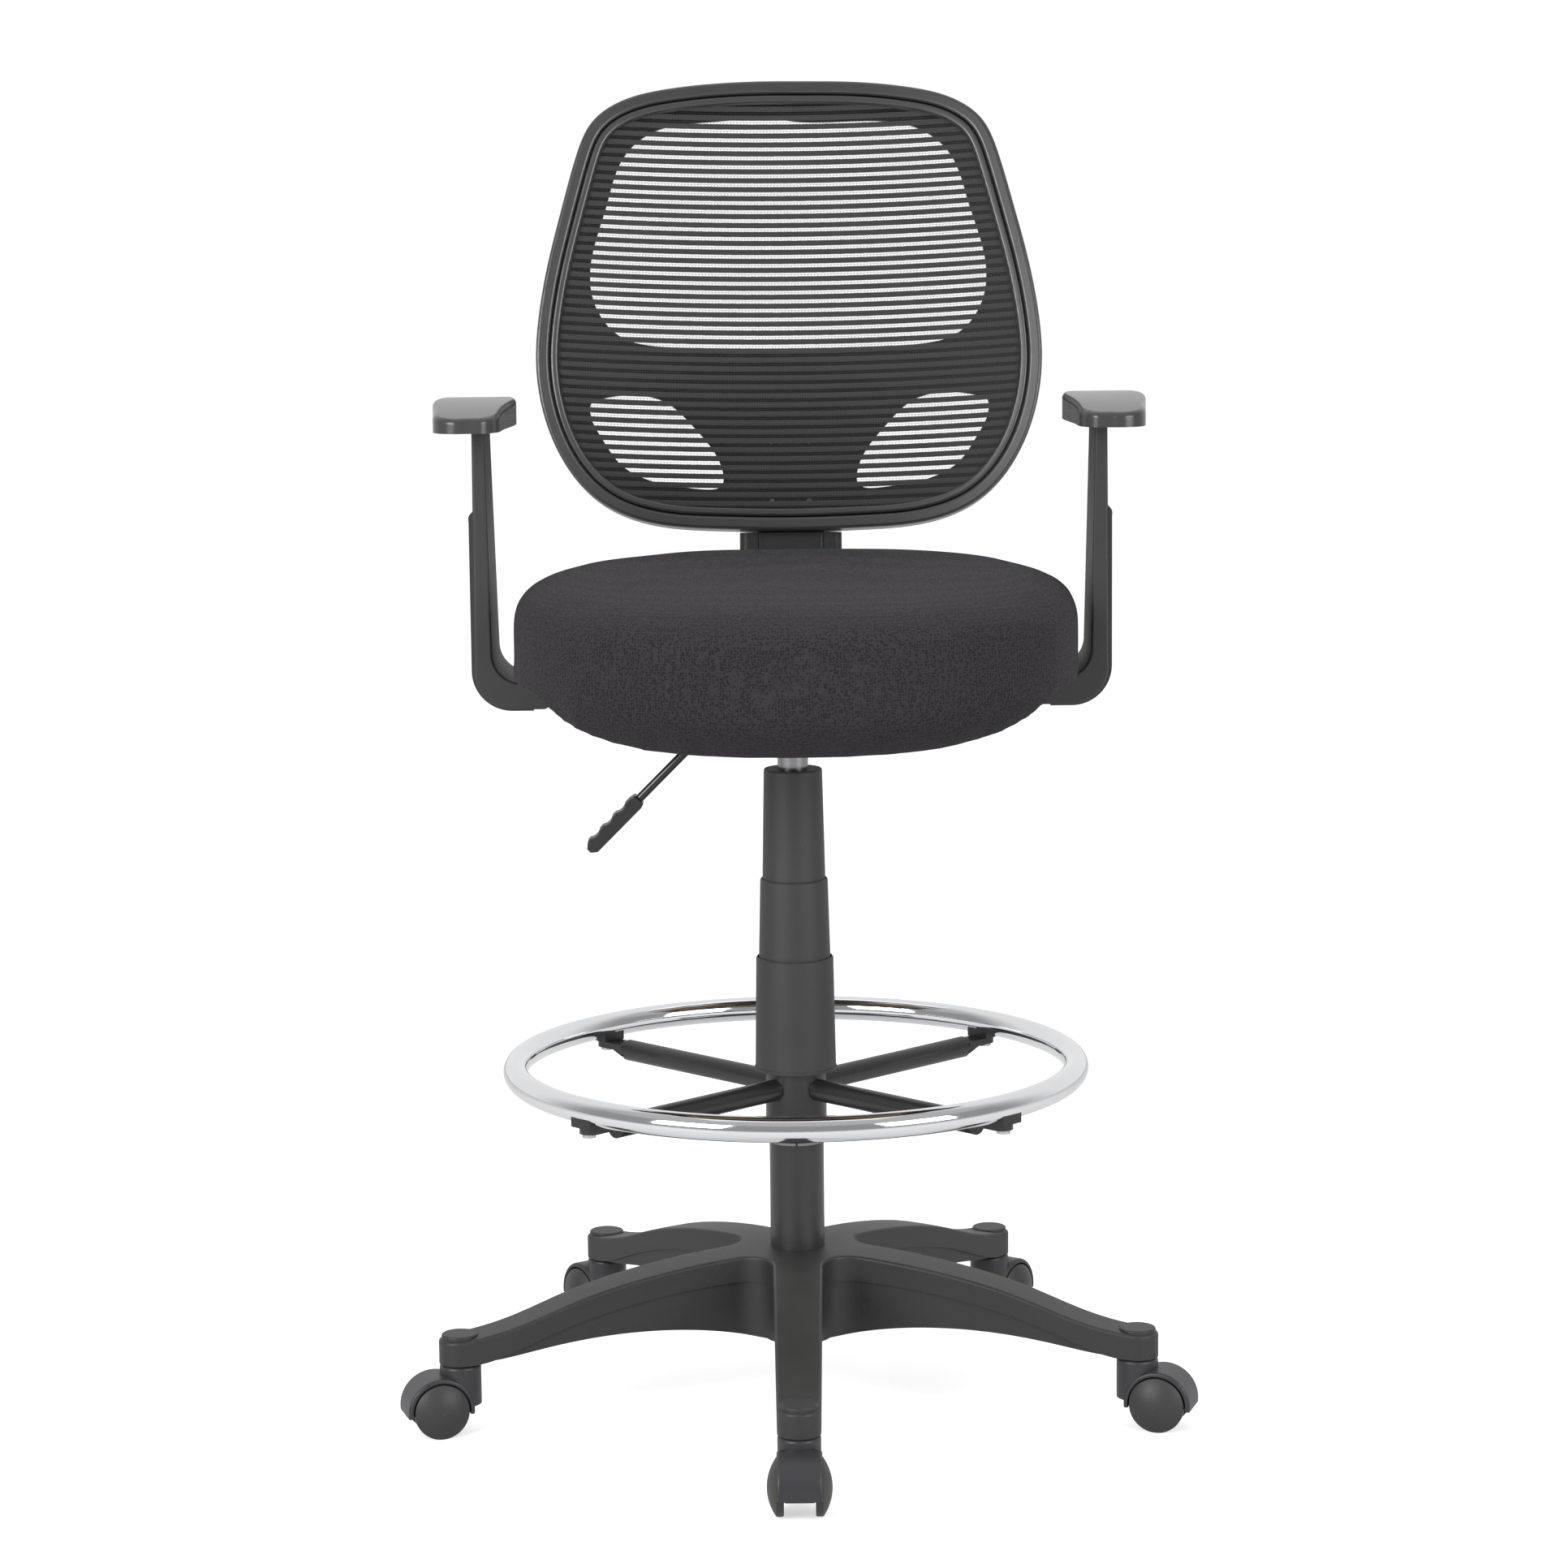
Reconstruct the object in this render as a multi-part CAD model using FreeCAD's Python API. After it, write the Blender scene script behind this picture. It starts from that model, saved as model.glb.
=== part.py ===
import FreeCAD, Part
import math
import os

# Drafting chair: five-star base on twin-wheel casters, gas lift with telescopic covers,
# foot ring, moulded seat with fixed armrests, and a mesh back.
# Millimetres, +Z up, the sitter faces -Y.  The origin is on the floor, on the column's axis.

V = FreeCAD.Vector

# ---- Driving dimensions -------------------------------------------------------------------

RUN_GAP = 0.05                      # radial play of a shaft in its bearing

# Base
LEG_COUNT = 5
LEG_PITCH = 360.0 / LEG_COUNT
FIRST_LEG_AZIMUTH = -90.0           # one leg points straight to the front
STEM_CIRCLE = 322.0                 # column's axis to a caster's stem
LEG_TIP_RADIUS = 19.0
LEG_TAPER = 0.8                     # degrees, each side, in plan
CROTCH_FILLET = 26.0                # where two legs meet at the hub
LEG_SIDE_STEP = 2.4                 # the web below is narrower than the band on top
LEG_WALL = 3.2
LEG_TIP_UNDERSIDE = 65.0
HUB_RADIUS = 31.0
HUB_BOTTOM = 58.0
HUB_TOP = 145.0
LEG_RIB_RADII = (84.0, 124.0, 164.0, 204.0, 244.0)
RIB = 2.2

# Casters
WHEEL_RADIUS = 25.0
CASTER_TRAIL = 22.0
WHEEL_INNER = 13.6                  # caster's middle plane to a wheel's inner face
WHEEL_SHOULDER = 20.0               # where the tread ends and the dome starts
WHEEL_OUTER = 28.0
AXLE_RADIUS = 3.0
HOOD_RADIUS = 30.6
HOOD_HALF_WIDTH = 19.5
HOOD_CLEARANCE = 26.7               # inner radius of the hood, over the wheels
HOOD_EDGE = 21.0                    # height of the hood's lower edge
HOOD_WEB_HALF = 12.4
HOOD_TOP = 64.0
BOSS_RADIUS = 18.8
STEM_SOCKET_RADIUS = 5.5
STEM_PIVOT_RADIUS = 4.0

# Column and gas lift
COLUMN_RADIUS = 25.0
COLUMN_BOTTOM_RADIUS = 24.1
COLUMN_WALL = 2.0
COLUMN_BOTTOM = 59.5
COLUMN_TOP = 385.0
PLATE_BOTTOM = 61.5
PLATE_TOP = 65.5
CYLINDER_RADIUS = 14.0
CYLINDER_BORE = 12.4
CYLINDER_BOTTOM = 240.0
CYLINDER_SHOULDER = 612.0
CYLINDER_TOP = 655.0
CYLINDER_TOP_RADIUS = 13.0
ROD_RADIUS = 5.0
BUTTON_RADIUS = 3.0
BUTTON_TOP = 663.0
BUSHING_BOTTOM = 300.0

# Telescopic covers: (bottom, top, outer radius at the bottom, outer radius at the top, wall)
COVER_LOWER = (312.0, 416.5, 37.1, 35.4, 1.3)
COVER_MIDDLE = (380.0, 489.0, 33.7, 30.9, 1.3)
COVER_UPPER = (468.0, 590.0, 29.2, 26.6, 1.3)

# Foot ring
RING_RADIUS = 257.0
RING_TUBE = 11.5
RING_WALL = 2.0
RING_HEIGHT = 314.5
RING_HUB_RADIUS = 28.0
RING_HUB_BOTTOM = 247.0
RING_HUB_TOP = 311.0
LINER_OUTER = 26.6
SPOKE_RADIUS = 10.0
SPOKE_HEIGHT = 295.0
SPOKE_FLAT_START = 226.0
SPOKE_FLAT_THICKNESS = 6.0
SPOKE_AZIMUTHS = (45.0, 135.0, 225.0, 315.0)
KNOB_HEIGHT = 270.0
KNOB_RADIUS = 17.0

# Seat and mechanism
PAN_BOTTOM = 676.0
PAN_TOP = 688.0
PAN_HALF = 190.0
SEAT_UNDERSIDE = 680.0
SEAT_HALF_WIDTH = 253.0
SEAT_FRONT = -283.0
SEAT_BACK = 214.0
HOUSING_HALF_WIDTH = 62.0
HOUSING_FRONT = -92.0
HOUSING_BACK = 118.0
HOUSING_BOTTOM = 626.0
HOUSING_WALL = 3.0
SOCKET_RADIUS = 20.0
SOCKET_BOTTOM = 608.0
SOCKET_TOP = 654.0

# Lever: the rod runs level over the button, bends, and drops outwards at 45 degrees
LEVER_RADIUS = 4.0
LEVER_HEIGHT = 667.5
LEVER_BEND_X = -36.0
LEVER_ROD_RUN = 112.0               # from the bend to the rod's end, along X
LEVER_PIN_RADIUS = 2.5              # pivot pin through the bend, along Y
LEVER_PIN_HALF = 10.2
LEVER_EAR = 4.0                     # thickness of the two ears that carry the pin
PADDLE_START = 104.0
PADDLE_LENGTH = 66.0

# Arms
ARM_OUTER = 284.0
ARM_THICKNESS = 12.5
ARM_FRONT = -45.0
ARM_BACK_TOP = 32.0
ARM_BACK_BOTTOM = 52.0
ARM_LEG_BOTTOM = 652.0
ARM_LEG_THICKNESS = 25.0
ARM_CORNER_OUTER = 34.0
ARM_CORNER_INNER = 24.0
ARM_SKIN = 3.0                      # the outer skin that wraps the lower half
ARM_SKIN_TOP = 829.0
ARM_PLATE_TOP = 676.0
ARM_PLATE_THICKNESS = 8.0
ARM_PLATE_INNER = 84.0
PAD_BOTTOM = 904.0
PAD_TOP = 927.0
PAD_CENTRE_X = 283.0
PAD_FRONT = -116.0
PAD_BACK = 134.0
PAD_END_WIDTH = 44.0
PAD_MIDDLE_WIDTH = 74.0
FLANGE_THICKNESS = 4.0
PAD_SCREW_RADIUS = 2.2

# Back: built upright in its own frame, then leaned back and lifted into place
BACK_ORIGIN = V(0.0, 235.0, 790.0)
BACK_RECLINE = 10.0
BACK_HEIGHT = 434.0
FACE_CENTRE = 28.0                  # how far the middle of the front face is dished in
FACE_RADIUS = 1068.0
REAR_CENTRE = 62.0
REAR_RADIUS = 838.0
BAND_WIDTH = 12.5                   # visible front band of the frame
BEAD_START = 13.6
BEAD_END = 21.0
BEAD_DEPTH = 11.0
MESH_DEPTH = 4.0
MESH_THICKNESS = 2.4
SHELL_THICKNESS = 4.5
SHELL_INSET = 3.0

# Back bar
BAR_HALF_WIDTH = 32.0
BAR_THICKNESS = 8.0
BAR_BOTTOM = 660.0
BAR_BEND = 46.0
BAR_COVER_HALF_WIDTH = 49.5
BAR_COVER_PANEL_HALF = 32.0


# ---- Helpers ------------------------------------------------------------------------------

def disc(radius, low, high, x=0.0, y=0.0):
    """Upright cylinder between two heights."""
    return Part.makeCylinder(radius, high - low, V(x, y, low))


def pipe(outer, inner, low, high, x=0.0, y=0.0):
    """Upright tube between two heights."""
    return disc(outer, low, high, x, y).cut(disc(inner, low - 1.0, high + 1.0, x, y))


def block(x_span, y_span, z_span):
    """Box from its spans along the three axes."""
    size = [span[1] - span[0] for span in (x_span, y_span, z_span)]
    return Part.makeBox(size[0], size[1], size[2], V(x_span[0], y_span[0], z_span[0]))


def rod(start, end, radius):
    """Cylinder from one point to another."""
    return Part.makeCylinder(radius, start.distanceToPoint(end), start, end.sub(start))


def turned(corners):
    """Solid turned about the upright axis, from (radius, height) corners."""
    points = [V(r, 0, h) for r, h in corners]
    face = Part.Face(Part.makePolygon(points + [points[0]]))
    return face.revolve(V(0, 0, 0), V(0, 0, 1), 360.0)


def spline(points, closed=False):
    """Smooth edge through points."""
    curve = Part.BSplineCurve()
    curve.interpolate(Points=points, PeriodicFlag=closed)
    return curve.toShape()


def arc(first, middle, last):
    """Circular edge through three points."""
    return Part.Arc(first, middle, last).toShape()


def line(first, last):
    """Straight edge."""
    return Part.LineSegment(first, last).toShape()


def solid_of(edges, direction):
    """Closed outline, swept along a direction into a solid."""
    return Part.Face(Part.Wire(edges)).extrude(direction)


def rounded_polygon(corners, radius, to_point):
    """Edges of a polygon with rounded corners; to_point maps (a, b) to a vector."""
    points = [to_point(a, b) for a, b in corners]
    count = len(points)
    corners_and_sides = []
    starts = []
    ends = []
    for i in range(count):
        before = (points[i - 1] - points[i]).normalize()
        after = (points[(i + 1) % count] - points[i]).normalize()
        half = before.getAngle(after) / 2.0
        cut = radius / math.tan(half)
        first = points[i] + before * cut
        last = points[i] + after * cut
        bisector = (before + after).normalize()
        middle = points[i] + bisector * (radius / math.sin(half) - radius)
        corners_and_sides.append([arc(first, middle, last)])
        starts.append(first)
        ends.append(last)
    for i in range(count):
        corners_and_sides[i].append(line(ends[i], starts[(i + 1) % count]))
    return sum(corners_and_sides, [])


def turn(shape, degrees, centre=V(0, 0, 0), axis=V(0, 0, 1)):
    """A copy of the shape, turned about an axis."""
    copy = shape.copy()
    copy.rotate(centre, axis, degrees)
    return copy


def shift(shape, x=0.0, y=0.0, z=0.0):
    """A copy of the shape, moved."""
    copy = shape.copy()
    copy.translate(V(x, y, z))
    return copy


def mirrored(shape):
    """The same piece for the other side of the chair."""
    return shape.mirror(V(0, 0, 0), V(1, 0, 0))


def screw(radius, head_radius, head_height, length, socket_radius):
    """Screw along +Z: head below z = 0, shank above it, with a hexagon socket in the head."""
    head = disc(head_radius, -head_height, 0.0)
    corners = [V(socket_radius * math.cos(math.radians(a)), socket_radius * math.sin(math.radians(a)),
                 -head_height - 1.0) for a in range(0, 361, 60)]
    recess = Part.Face(Part.makePolygon(corners)).extrude(V(0, 0, head_height * 0.6 + 1.0))
    return head.fuse(disc(radius, -0.1, length)).cut(recess).removeSplitter()


def write(node, *solids):
    """One file per named piece; repeated pieces are separate solids in it."""
    shape = solids[0] if len(solids) == 1 else Part.makeCompound(list(solids))
    shape.exportStep("parts/" + node + ".step")


def leg_azimuths():
    return [FIRST_LEG_AZIMUTH + LEG_PITCH * i for i in range(LEG_COUNT)]


# ---- Base ---------------------------------------------------------------------------------

def star_prism(inset, low, high):
    """Upright prism of the five-armed outline, drawn in by an inset."""
    tip = LEG_TIP_RADIUS - inset
    fillet = CROTCH_FILLET + inset
    taper = math.radians(LEG_TAPER)
    half_pitch = math.radians(LEG_PITCH / 2.0)
    side = STEM_CIRCLE * math.sin(taper) + tip
    crotch = (side + fillet) / math.sin(half_pitch + taper)

    def place(azimuth, along, across):
        a = math.radians(azimuth)
        return V(along * math.cos(a) - across * math.sin(a), along * math.sin(a) + across * math.cos(a), low)

    root_along = crotch * math.cos(half_pitch) - fillet * math.sin(taper)
    root_across = crotch * math.sin(half_pitch) - fillet * math.cos(taper)
    tip_along = STEM_CIRCLE + tip * math.sin(taper)
    tip_across = tip * math.cos(taper)
    edges = []
    for azimuth in leg_azimuths():
        right_root = place(azimuth, root_along, -root_across)
        right_tip = place(azimuth, tip_along, -tip_across)
        left_tip = place(azimuth, tip_along, tip_across)
        left_root = place(azimuth, root_along, root_across)
        next_root = place(azimuth + LEG_PITCH, root_along, -root_across)
        edges.append(line(right_root, right_tip))
        edges.append(arc(right_tip, place(azimuth, STEM_CIRCLE + tip, 0.0), left_tip))
        edges.append(line(left_tip, left_root))
        edges.append(arc(left_root, place(azimuth + LEG_PITCH / 2.0, crotch - fillet, 0.0), next_root))
    return solid_of(edges, V(0, 0, high - low))


def dish(upper, lower):
    """Ring between two smooth (radius, height) profiles, with its seam between two legs."""
    top = [V(r, 0, z) for r, z in upper]
    bottom = [V(r, 0, z) for r, z in lower]
    edges = [spline(top), line(top[-1], bottom[-1]), spline(bottom), line(bottom[0], top[0])]
    seam = FIRST_LEG_AZIMUTH + LEG_PITCH / 2.0
    solid = Part.Face(Part.Wire(edges)).revolve(V(0, 0, 0), V(0, 0, 1), 360.0)
    return turn(solid, seam)


def star_base():
    top = [(15.0, HUB_TOP), (55.0, 144.2), (110.0, 138.8), (165.0, 129.5),
           (220.0, 115.2), (272.0, 97.6), (310.0, 89.5), (350.0, 87.6)]
    flat = LEG_TIP_UNDERSIDE
    crease = [(15.0, 121.0), (50.0, 120.6), (112.0, 116.8), (170.0, 107.4), (231.0, 91.5), (278.0, 74.0),
              (296.0, flat + 3.2), (311.0, flat + 0.6), (324.0, flat + 0.1), (337.0, flat), (350.0, flat)]
    belly = [(15.0, 63.0), (31.0, 64.0), (75.0, 73.0), (128.0, 80.2), (185.0, 81.0),
             (245.0, 75.0), (288.0, 68.4), (315.0, flat + 1.3), (333.0, flat + 1.0), (350.0, flat + 1.0)]
    band = star_prism(0.0, 40.0, 160.0).common(dish(top, crease))
    band = band.makeFillet(2.6, top_edges(band, top))
    inner_top = [(r, z - 2.0) for r, z in top]
    web = star_prism(LEG_SIDE_STEP, 40.0, 160.0).common(dish(inner_top, belly))
    hollow_top = [(r, z - LEG_WALL - 1.2) for r, z in top]
    hollow_bottom = [(r, z - 20.0) for r, z in belly]
    hollow = star_prism(LEG_SIDE_STEP + LEG_WALL, 20.0, 160.0).common(dish(hollow_top, hollow_bottom))
    keep = [disc(HUB_RADIUS, 0.0, 200.0)]
    for azimuth in leg_azimuths():
        keep.append(turn(disc(STEM_SOCKET_RADIUS + 5.0, 0.0, 200.0, STEM_CIRCLE), azimuth))
        spine = block((HUB_RADIUS - 2.0, STEM_CIRCLE), (-RIB / 2.0, RIB / 2.0), (0.0, 200.0))
        keep.append(turn(spine, azimuth))
        for radius in LEG_RIB_RADII:
            rib = block((radius, radius + RIB), (-LEG_TIP_RADIUS - 6.0, LEG_TIP_RADIUS + 6.0), (0.0, 200.0))
            keep.append(turn(rib, azimuth))
    hollow = hollow.cut(keep)
    base = band.fuse([web, disc(HUB_RADIUS, HUB_BOTTOM, 100.0)])
    base = base.cut(hollow)
    bumps = []
    sockets = []
    for azimuth in leg_azimuths():
        bump = disc(LEG_TIP_RADIUS - 2.5, 80.0, 91.6, STEM_CIRCLE)
        bump = bump.makeFillet(1.6, [edge for edge in bump.Edges if edge.BoundBox.ZMin > 90.0])
        bumps.append(turn(bump, azimuth))
        sockets.append(turn(disc(STEM_SOCKET_RADIUS, 40.0, 85.5, STEM_CIRCLE), azimuth))
    base = base.fuse(bumps)
    bore = turned([(0.0, 40.0), (COLUMN_BOTTOM_RADIUS, 40.0), (COLUMN_BOTTOM_RADIUS, COLUMN_BOTTOM),
                   (COLUMN_RADIUS, HUB_TOP), (COLUMN_RADIUS, 170.0), (0.0, 170.0)])
    return base.cut(sockets + [bore])


def top_edges(band, top):
    """Outline edges that lie on the upper surface of the legs."""
    def height(radius):
        for (r0, z0), (r1, z1) in zip(top, top[1:]):
            if r0 <= radius <= r1:
                return z0 + (z1 - z0) * (radius - r0) / (r1 - r0)
        return top[-1][1]

    chosen = []
    for edge in band.Edges:
        ends = [vertex.Point for vertex in edge.Vertexes]
        on_top = all(abs(p.z - height(math.hypot(p.x, p.y))) < 2.5 for p in ends)
        outside = all(math.hypot(p.x, p.y) > HUB_RADIUS for p in ends)
        if on_top and outside and len(ends) == 2:
            chosen.append(edge)
    return chosen


def caster_stem():
    corners = [(0.0, 38.0), (STEM_PIVOT_RADIUS - 0.8, 38.0), (STEM_PIVOT_RADIUS, 39.0),
               (STEM_PIVOT_RADIUS, 64.3), (8.0, 64.3), (8.0, 65.0), (STEM_SOCKET_RADIUS, 65.0),
               (STEM_SOCKET_RADIUS, 84.0), (STEM_SOCKET_RADIUS - 1.2, 85.2), (0.0, 85.2)]
    return shift(turned(corners), x=STEM_CIRCLE)


def caster_hood():
    """Body of a caster whose wheels trail outwards, at the stem's place on the +X axis."""
    axle_x = STEM_CIRCLE + CASTER_TRAIL
    across = V(0, 1, 0)
    drum_end = V(axle_x, -HOOD_HALF_WIDTH, WHEEL_RADIUS)
    drum = Part.makeCylinder(HOOD_RADIUS, 2.0 * HOOD_HALF_WIDTH, drum_end, across)
    drum = drum.makeFillet(2.5, [edge for edge in drum.Edges if len(edge.Vertexes) == 1])
    drum = drum.common(block((axle_x - 60.0, axle_x + 60.0), (-40.0, 40.0), (HOOD_EDGE, 90.0)))
    boss = disc(BOSS_RADIUS, 27.0, HOOD_TOP, STEM_CIRCLE)
    boss = boss.makeFillet(3.0, [edge for edge in boss.Edges if edge.BoundBox.ZMin > HOOD_TOP - 1.0])
    hub = Part.makeCylinder(14.0, 2.0 * HOOD_WEB_HALF, V(axle_x, -HOOD_WEB_HALF, WHEEL_RADIUS), across)
    bridge = block((STEM_CIRCLE, axle_x), (-HOOD_WEB_HALF, HOOD_WEB_HALF), (20.0, 45.0))
    hood = drum.fuse([boss, hub, bridge])
    wells = []
    for side in (-1.0, 1.0):
        start = V(axle_x, side * HOOD_WEB_HALF, WHEEL_RADIUS)
        wells.append(Part.makeCylinder(HOOD_CLEARANCE, 40.0, start, across * side))
    axle_hole = Part.makeCylinder(AXLE_RADIUS, 80.0, V(axle_x, -40.0, WHEEL_RADIUS), across)
    stem_hole = disc(STEM_PIVOT_RADIUS + RUN_GAP, 36.0, 80.0, STEM_CIRCLE)
    return hood.cut(wells + [axle_hole, stem_hole])


def caster_axle():
    half = WHEEL_OUTER - 6.0
    start = V(STEM_CIRCLE + CASTER_TRAIL, -half, WHEEL_RADIUS)
    return Part.makeCylinder(AXLE_RADIUS, 2.0 * half, start, V(0, 1, 0))


def caster_wheel(side):
    """Domed wheel on one side of the caster; side is -1 or 1."""
    centre = V(STEM_CIRCLE + CASTER_TRAIL, 0.0, WHEEL_RADIUS)
    bore = AXLE_RADIUS + RUN_GAP
    blind = WHEEL_OUTER - 5.5

    def at(radius, along):
        return centre + V(radius, side * along, 0.0)

    corners = [(0.0, blind), (bore, blind), (bore, WHEEL_INNER), (7.0, WHEEL_INNER), (8.0, 17.5),
               (19.5, 17.5), (20.5, WHEEL_INNER), (24.2, WHEEL_INNER), (WHEEL_RADIUS, WHEEL_INNER + 0.8),
               (WHEEL_RADIUS, WHEEL_SHOULDER)]
    points = [at(radius, along) for radius, along in corners]
    edges = [line(first, last) for first, last in zip(points, points[1:])]
    rise = WHEEL_OUTER - WHEEL_SHOULDER
    dome = (WHEEL_RADIUS ** 2 + rise ** 2) / (2.0 * rise)
    half_way = WHEEL_RADIUS / 2.0
    dome_middle = at(half_way, WHEEL_OUTER - dome + math.sqrt(dome ** 2 - half_way ** 2))
    edges.append(arc(points[-1], dome_middle, at(0.0, WHEEL_OUTER)))
    edges.append(line(at(0.0, WHEEL_OUTER), points[0]))
    return Part.Face(Part.Wire(edges)).revolve(centre, V(0, 1, 0), 360.0)


# ---- Column and gas lift ------------------------------------------------------------------

def column_tube():
    inner = COLUMN_RADIUS - COLUMN_WALL
    inner_low = COLUMN_BOTTOM_RADIUS - COLUMN_WALL
    hole = ROD_RADIUS + RUN_GAP
    return turned([(inner_low, COLUMN_BOTTOM), (COLUMN_BOTTOM_RADIUS, COLUMN_BOTTOM),
                   (COLUMN_RADIUS, HUB_TOP), (COLUMN_RADIUS, COLUMN_TOP), (inner, COLUMN_TOP),
                   (inner, HUB_TOP), (inner_low, PLATE_TOP),
                   (hole, PLATE_TOP), (hole, PLATE_BOTTOM), (inner_low, PLATE_BOTTOM)])


def guide_bushing():
    outer = COLUMN_RADIUS - COLUMN_WALL
    hole = CYLINDER_RADIUS + RUN_GAP
    lip = COLUMN_RADIUS - 0.6
    return turned([(hole, BUSHING_BOTTOM), (outer, BUSHING_BOTTOM), (outer, COLUMN_TOP),
                   (lip, COLUMN_TOP), (lip, COLUMN_TOP + 3.0), (hole, COLUMN_TOP + 3.0)])


def gas_cylinder():
    gland_top = CYLINDER_BOTTOM + 12.0
    bore_top = CYLINDER_SHOULDER
    return turned([(ROD_RADIUS + RUN_GAP, CYLINDER_BOTTOM), (CYLINDER_RADIUS - 1.0, CYLINDER_BOTTOM),
                   (CYLINDER_RADIUS, CYLINDER_BOTTOM + 1.0), (CYLINDER_RADIUS, CYLINDER_SHOULDER),
                   (CYLINDER_TOP_RADIUS, CYLINDER_TOP), (BUTTON_RADIUS + RUN_GAP, CYLINDER_TOP),
                   (BUTTON_RADIUS + RUN_GAP, bore_top), (CYLINDER_BORE, bore_top),
                   (CYLINDER_BORE, gland_top), (ROD_RADIUS + RUN_GAP, gland_top)])


def piston_rod():
    """Rod with its piston inside the cylinder and a shoulder on the thrust bearing."""
    head = CYLINDER_BORE - RUN_GAP
    return turned([(0.0, 57.0), (ROD_RADIUS, 57.0), (ROD_RADIUS, 71.0), (10.0, 71.0), (10.0, 74.0),
                   (ROD_RADIUS, 74.0), (ROD_RADIUS, 279.0), (head, 279.0), (head, 291.0), (0.0, 291.0)])


def thrust_bearing():
    return pipe(13.0, ROD_RADIUS + 0.4, PLATE_TOP, 70.7)


def retaining_clip():
    return pipe(8.5, ROD_RADIUS, 58.4, 61.0)


def release_button():
    return turned([(0.0, 620.0), (BUTTON_RADIUS, 620.0), (BUTTON_RADIUS, BUTTON_TOP - 1.0),
                   (BUTTON_RADIUS - 1.0, BUTTON_TOP), (0.0, BUTTON_TOP)])


def cover(sizes, floor_radius=None, floor_thickness=0.0, cap_radius=None, cap_thickness=0.0):
    """Tapered sleeve, with a flat ring across its bottom or its top where one is given."""
    low, high, low_radius, high_radius, wall = sizes
    shell = turned([(low_radius - wall, low), (low_radius, low), (high_radius, high - 1.2),
                    (high_radius - 1.0, high), (high_radius - wall, high)])
    if floor_radius is not None:
        shell = shell.fuse(pipe(low_radius - wall / 2.0, floor_radius, low, low + floor_thickness))
    if cap_radius is not None:
        shell = shell.fuse(pipe(high_radius - wall / 2.0, cap_radius, high - cap_thickness, high - 0.2))
    return shell


def cover_lower():
    lip = pipe(COVER_LOWER[2] + 0.5, COVER_LOWER[2] - 1.0, COVER_LOWER[0], COVER_LOWER[0] + 2.5)
    return cover(COVER_LOWER, floor_radius=COLUMN_RADIUS, floor_thickness=2.6).fuse(lip)


# ---- Foot ring ----------------------------------------------------------------------------

def foot_ring():
    """Bent tube, closed into a ring."""
    outer = Part.makeTorus(RING_RADIUS, RING_TUBE, V(0, 0, RING_HEIGHT), V(0, 0, 1))
    inner = Part.makeTorus(RING_RADIUS, RING_TUBE - RING_WALL, V(0, 0, RING_HEIGHT), V(0, 0, 1))
    return outer.cut(inner)


def foot_ring_hub():
    hub = pipe(RING_HUB_RADIUS, LINER_OUTER + RUN_GAP, RING_HUB_BOTTOM, RING_HUB_TOP)
    thread = rod(V(0, 0, KNOB_HEIGHT), V(0, 60, KNOB_HEIGHT), 4.05)
    nut = rod(V(0, LINER_OUTER + 0.6, KNOB_HEIGHT), V(0, RING_HUB_RADIUS + 6.0, KNOB_HEIGHT), 9.0)
    return hub.fuse(nut).cut([thread, disc(LINER_OUTER + RUN_GAP, 200.0, 340.0)])


def foot_ring_liner():
    """Split plastic liner between the hub and the column."""
    collar = LINER_OUTER + 2.0
    body = turned([(COLUMN_RADIUS + RUN_GAP, RING_HUB_BOTTOM - 2.5), (collar, RING_HUB_BOTTOM - 2.5),
                   (collar, RING_HUB_BOTTOM - 0.3), (LINER_OUTER, RING_HUB_BOTTOM - 0.3),
                   (LINER_OUTER, RING_HUB_TOP), (COLUMN_RADIUS + RUN_GAP, RING_HUB_TOP)])
    slit = block((-1.0, 1.0), (0.0, 40.0), (200.0, 340.0))
    return body.cut(turn(slit, 180.0))


def foot_ring_spoke():
    """Tube from the hub, pressed flat at its outer end to pass under the ring."""
    end = RING_RADIUS + 8.0
    tube = rod(V(RING_HUB_RADIUS - 1.0, 0, SPOKE_HEIGHT), V(SPOKE_FLAT_START, 0, SPOKE_HEIGHT), SPOKE_RADIUS)
    bore = rod(V(0, 0, SPOKE_HEIGHT), V(SPOKE_FLAT_START - 6.0, 0, SPOKE_HEIGHT), SPOKE_RADIUS - RING_WALL)
    flat_top = RING_HEIGHT - RING_TUBE - 2.0
    flat_bottom = flat_top - SPOKE_FLAT_THICKNESS
    profile = [V(SPOKE_FLAT_START - 0.5, -SPOKE_RADIUS, SPOKE_HEIGHT - 5.0),
               V(SPOKE_FLAT_START - 0.5, -SPOKE_RADIUS, SPOKE_HEIGHT + 5.0),
               V(SPOKE_FLAT_START + 12.0, -SPOKE_RADIUS, flat_top), V(end, -SPOKE_RADIUS, flat_top),
               V(end, -SPOKE_RADIUS, flat_bottom), V(SPOKE_FLAT_START + 12.0, -SPOKE_RADIUS, flat_bottom)]
    flat = Part.Face(Part.makePolygon(profile + [profile[0]])).extrude(V(0, 2.0 * SPOKE_RADIUS, 0))
    plan = disc(SPOKE_RADIUS, 270.0, 330.0, end - SPOKE_RADIUS)
    run = (SPOKE_FLAT_START - 2.0, end - SPOKE_RADIUS)
    plan = plan.fuse(block(run, (-SPOKE_RADIUS, SPOKE_RADIUS), (270.0, 330.0)))
    hole = disc(3.0, 270.0, 330.0, RING_RADIUS)
    return tube.cut(bore).fuse(flat.common(plan)).cut([hole, disc(RING_HUB_RADIUS, 200.0, 340.0)])


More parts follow.
